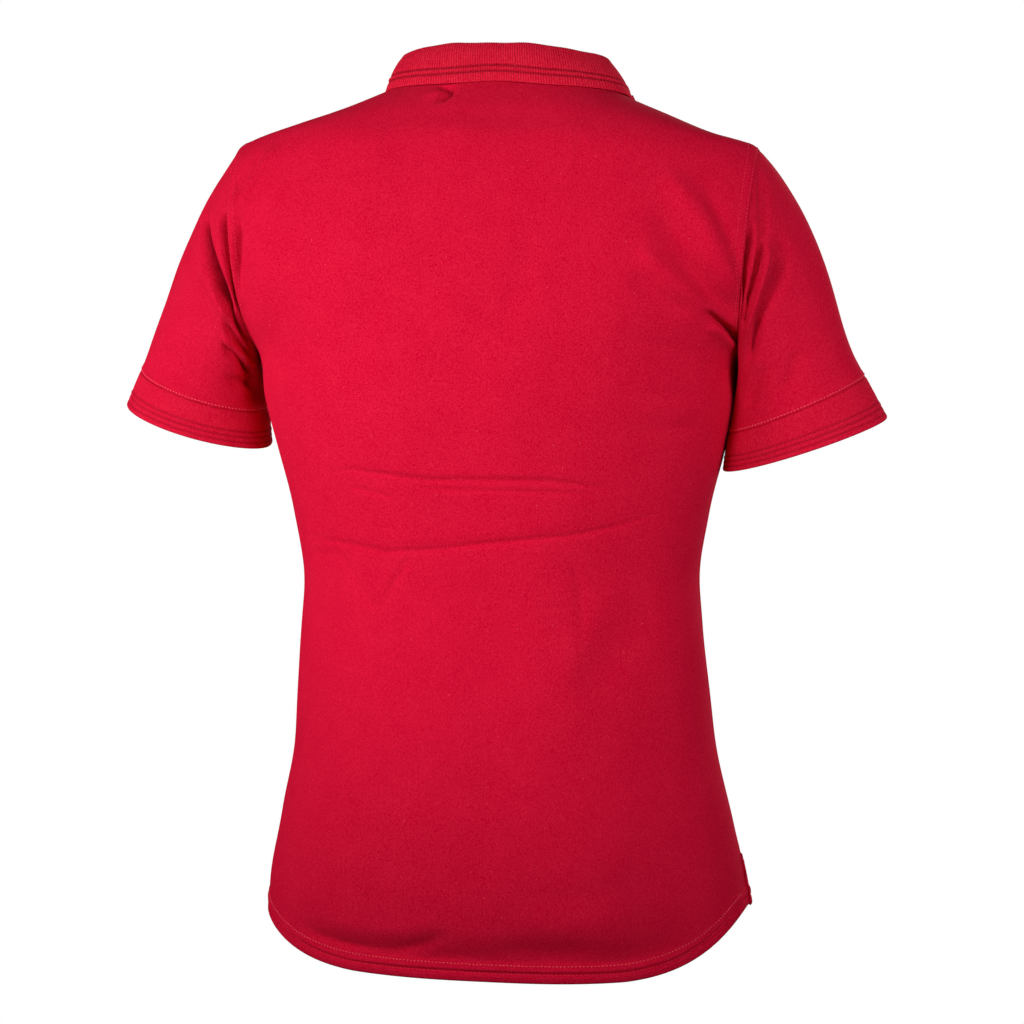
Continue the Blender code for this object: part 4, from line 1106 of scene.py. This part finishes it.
buttonholes = stitches("buttonhole_thread", worked, 0.0006, length=0.0010, thick=0.0007)

# ------------------------------------------------------------------------------------------
# Collar. Flat-knitted 1 x 1 rib, stand and leaf in one piece, folded over by hand. Two lines
# are knitted in above the edge, and the leaf lies on the shoulders and opens in front.

# by how far round from the middle of the back (0) past the shoulders (1) to the front (2)
COLLAR = columns("round fold_out fold_up reach clear", (
    (0.0, 0.003, 0.0230, 0.0112, 0.0004),
    (0.14, 0.00305, 0.02298, 0.0115, 0.0004),
    (0.5, 0.004, 0.0225, 0.0166, 0.0002),
    (1.0, 0.006, 0.0200, 0.0240, -0.0007),
    (1.5, 0.006, 0.0230, 0.0205, 0.0003),
    (2.0, 0.004, 0.0260, 0.0150, 0.0026),
))
COLLAR_OPENS = 0.0016
COLLAR_LINES = (0.0086, 0.0134)
COLLAR_GROOVE = 0.0012
COLLAR_RELIEF = 0.00018
FOLD_RADIUS = 0.0028
STAND_FOOT = 0.004
LEAF_CROWN = 0.0015
POINT_SPREAD = 0.030
COLLAR_POINTS = 4 * 262
COLLAR_PITCH = 0.0016
NECK_SHARES = (0.0, 0.154, 0.45, 0.73, 0.92, 1.0)


def body_rest(x, y):
    """The cloth under points near the neck, and its normals there: the level at which the oval
    reaches as far out as each point."""
    levels = np.linspace(0.0, -0.20, 600)
    spots, slopes = [], []
    for face in ("back", "front"):
        out = np.abs(body_point(face, x[:, None] + 0 * levels, levels + 0 * x[:, None])[..., 1])
        i = np.clip((out < np.abs(y)[:, None]).sum(axis=1), 1, len(levels) - 1)
        k = np.arange(len(x))
        part = (np.abs(y) - out[k, i - 1]) / np.maximum(out[k, i] - out[k, i - 1], 1e-9)
        level = levels[i - 1] + (levels[i] - levels[i - 1]) * np.clip(part, 0, 1)
        spot = body_point(face, x, level)
        normal = unit(np.cross(body_point(face, x + 0.0005, level) - spot,
                               body_point(face, x, level - 0.0005) - spot))
        spots.append(spot)
        slopes.append(normal * np.sign(normal[:, 2:]))
    behind = (y >= 0)[:, None]
    return np.where(behind, spots[0], spots[1]), np.where(behind, slopes[0], slopes[1])


def bent(knots, counts):
    """A smooth path through knots for many stations at once: a cubic on each step, whose slopes are
    the neighbours' secants weighed by the steps between them."""
    steps = np.linalg.norm(np.diff(knots, axis=0), axis=-1)[..., None]
    secants = np.diff(knots, axis=0) / steps
    inner = (steps[1:] * secants[:-1] + steps[:-1] * secants[1:]) / (steps[1:] + steps[:-1])
    slopes = np.concatenate([secants[:1], inner, secants[-1:]])
    path = []
    for k, count in enumerate(counts):
        t = (np.arange(count) / count)[:, None, None]
        path.append((1 + 2 * t) * (1 - t) ** 2 * knots[k] + t * (1 - t) ** 2 * steps[k] * slopes[k]
                    + t * t * (3 - 2 * t) * knots[k + 1] + t * t * (t - 1) * steps[k] * slopes[k + 1])
    return np.concatenate(path + [knots[-1:]])


# the neck seam from the wearer's right front, round the back, to the left front
n = NECK_COLUMNS
mid_b, mid_f = len(across) // 2, len(front_across) // 2
turned = np.interp(np.abs(across[mid_b:mid_b + n + 1]) / NECK_ACROSS, NECK_SHARES, np.arange(6) / 5)
plain_back = panel_points("back", across, np.array([1.98, 2.0]))[-1]
plain_front = panel_points("front", front_across, np.array([1.98, 2.0]))[-1]
seam = np.concatenate([plain_front[mid_f - n:mid_f + 1][::-1], plain_back[mid_b - n + 1:mid_b + n],
                       plain_front[mid_f:mid_f + n + 1][::-1]])
around = np.concatenate([2 - turned, turned[n - 1:0:-1], turned[:n], 2 - turned[::-1]])
run = walked(seam, 0)
at = np.linspace(COLLAR_OPENS, run[-1] - COLLAR_OPENS, COLLAR_POINTS + 1)
base = np.stack([smooth(at, run, seam[:, k]) for k in range(3)], axis=-1)
around = np.interp(at, run, around)
tangent = unit(np.gradient(base, axis=0))
out = np.cross(tangent, (0.0, 0.0, 1.0))
out = unit(out * np.sign((out * (base - base.mean(axis=0))).sum(axis=-1, keepdims=True)))
toward_back = tangent * np.where(at < run[-1] / 2, 1.0, -1.0)[:, None]
fold_out, fold_up, reach, clear = (smooth(around, COLLAR["round"], COLLAR[name])[:, None]
                                   for name in ("fold_out", "fold_up", "reach", "clear"))
# the fold sits a little lower on the wearer's right, and is a little uneven all along
fold_up = fold_up - 0.0032 * ease((-base[:, :1] - 0.015) / 0.05) - 0.0008 * ease((base[:, :1] - 0.03) / 0.04)
fold_up = fold_up + 0.0003 * np.sin(at * 95 + 0.7)[:, None] + 0.0002 * np.sin(at * 210)[:, None]
spread = (POINT_SPREAD * ease(around - 1.0) ** 2)[:, None]
up = np.array([0.0, 0.0, 1.0])
spot = base + reach * out + spread * toward_back
rest, normal = body_rest(spot[:, 0], spot[:, 1])
# the section's knots: foot and stand, the fold's inner side, top and outer side, and the leaf
leaf_edge = rest + (clear + RIB / 2) * normal
apex = base + fold_out * out + fold_up * up + 0.25 * spread * toward_back
fold_in = apex - FOLD_RADIUS * (out + up)
fold_over = apex + FOLD_RADIUS * (out - 1.1 * up) + 0.05 * spread * toward_back
foot = base + 0.0006 * up - 0.0012 * out
stand = base + STAND_FOOT * up - RIB / 2 * out
crown = (fold_over + leaf_edge) / 2 + LEAF_CROWN * unit(out + 0.5 * up)
knots = np.stack([foot, stand, (stand + fold_in) / 2, fold_in, apex, fold_over, crown, leaf_edge])
grid = bent(knots, (1, 1, 2, 3, 4, 9, 26))
normals = grid_normals(grid)
if (normals[-6] * out).sum() < 0:
    normals = -normals
# relief: ribs, and grooves that fade where the collar turns over the shoulder
d = walked(grid, 0, True)
turn = bell(around - 1.10, 0.28)
grooves = sum(bell(d - line, 0.0013) for line in COLLAR_LINES) * (1 - 0.8 * turn)
ribs = RIB_SHAPE[np.arange(COLLAR_POINTS + 1) % 4][None, :]
ribs = ribs * (1 - 0.7 * turn) * (1 - 0.35 * ease((0.0145 - d) / 0.002))
height = RIB / 2 + COLLAR_RELIEF * ribs - COLLAR_GROOVE * grooves + 0.0005 * bell(d - 0.0110, 0.0012)
height -= 0.0006 * rounded(d, 0.0010)
points = grid + height[..., None] * normals
# the collar gets painted shade between its ribs and along its two lines
collar_cloth = knit("rib_collar", (0.700, 0.0034, 0.0370), COLLAR_PITCH, 0.12, lint=0.05, ribbed=0.26,
                    lines=COLLAR_LINES, shaded=0.50)
collar_piece = cloth("rib_collar", points, RIB, collar_cloth, base.mean(axis=0),
                     ribs=(np.arange(COLLAR_POINTS + 1) - 2) * COLLAR_PITCH / 4, depths=d)
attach(collar_piece, "root")
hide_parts("collar")

# ------------------------------------------------------------------------------------------
# Studio. Softboxes about level with the shoulders, their beams narrowed: the key at the wearer's
# left, fills behind and on the right, and a higher one in front. The camera stands behind the
# shirt, a little to the wearer's right, and the pale floor has a light of its own.

AIM = np.array([-0.0141, 0.0, -0.351])
AZIMUTH, ROLL = math.radians(190), math.radians(1.1)
DISTANCE, FRAME_WIDTH = 2.5, 0.83968
FLOOR_LEVEL, FLOOR_HALF = -1.12, 1.6

camera = bpy.data.objects.new("camera", bpy.data.cameras.new("camera"))
bpy.context.scene.collection.objects.link(camera)
camera.data.lens = camera.data.sensor_width * DISTANCE / FRAME_WIDTH
camera.location = AIM + DISTANCE * np.array([math.sin(AZIMUTH), -math.cos(AZIMUTH), 0.0])
camera.rotation_euler = (math.pi / 2, -ROLL, AZIMUTH)
camera.data.clip_end = 30.0
bpy.context.scene.camera = camera

paper, tree, shader, where = new_finish("floor_paper")
shade = mapped(tree, noise(tree, where, 220.0, 2.0), {"To Min": 0.80, "To Max": 0.84})
tree.links.new(shade, shader.inputs["Base Color"])
shader.inputs["Roughness"].default_value = 0.9
floor = bpy.data.meshes.new("floor")
corners = ((-1, -1), (1, -1), (1, 1), (-1, 1))
floor.from_pydata([(x * FLOOR_HALF, y * FLOOR_HALF, FLOOR_LEVEL) for x, y in corners], [], [(0, 1, 2, 3)])
floor.materials.append(paper)
ground = bpy.data.objects.new("floor", floor)
bpy.context.scene.collection.objects.link(ground)


def area_light(name, size, power):
    """A square sheet of light."""
    light = bpy.data.lights.new(name, "AREA")
    light.size = size
    light.energy = power
    box = bpy.data.objects.new(name, light)
    bpy.context.scene.collection.objects.link(box)
    return box


def soft_light(name, spot, aim, size, power, spread):
    """A softbox that faces a point. Its spread narrows the beam, so it fades off its aim."""
    box = area_light(name, size, power)
    box.data.spread = math.radians(spread)
    box.location = spot
    x, y, z = np.array(spot) - np.array(aim)
    box.rotation_euler = (math.atan2(math.hypot(x, y), z), 0.0, math.atan2(y, x) + math.pi / 2)


soft_light("key", (1.8, 0.9, 0.0), (0.20, 0.0, -0.29), 0.8, 2.78, 50)
soft_light("back_fill", (0.95, 1.75, -0.14), (0.03, 0.10, -0.22), 0.6, 1.12, 37)
soft_light("side_fill", (-1.5, 1.6, 0.05), (-0.18, 0.0, -0.20), 0.8, 2.15, 50)
soft_light("edge_fill", (-1.8, 0.95, 0.0), (-0.17, 0.0, -0.35), 0.8, 0.85, 70)
soft_light("front_fill", (-0.7, -2.3, 0.5), (0.0, 0.0, -0.35), 1.4, 7.0, 70)
# the floor's sheet of light hangs between it and the hem, so that none falls on the shirt
sheet = area_light("floor_light", 2 * FLOOR_HALF, 34.0)
sheet.location = (0.0, 0.0, -0.80)
sheet.visible_camera = False
ground.visible_diffuse = False
# the world is white to the camera and dim to the shirt
world = bpy.data.worlds.new("white")
bpy.context.scene.world = world
world.use_nodes = True
tree = world.node_tree
lit = tree.nodes["Background"]
lit.inputs["Color"].default_value = (1.0, 1.0, 1.0, 1.0)
lit.inputs["Strength"].default_value = 0.02
seen = node(tree, "Background", {"Color": (1.0, 1.0, 1.0, 1.0), "Strength": 1.0})
ray = node(tree, "LightPath")
pick = node(tree, "MixShader", {0: ray.outputs["Is Camera Ray"], 1: lit.outputs[0], 2: seen.outputs[0]})
tree.links.new(pick.outputs[0], tree.nodes["World Output"].inputs["Surface"])
bpy.context.scene.view_settings.view_transform = "Standard"
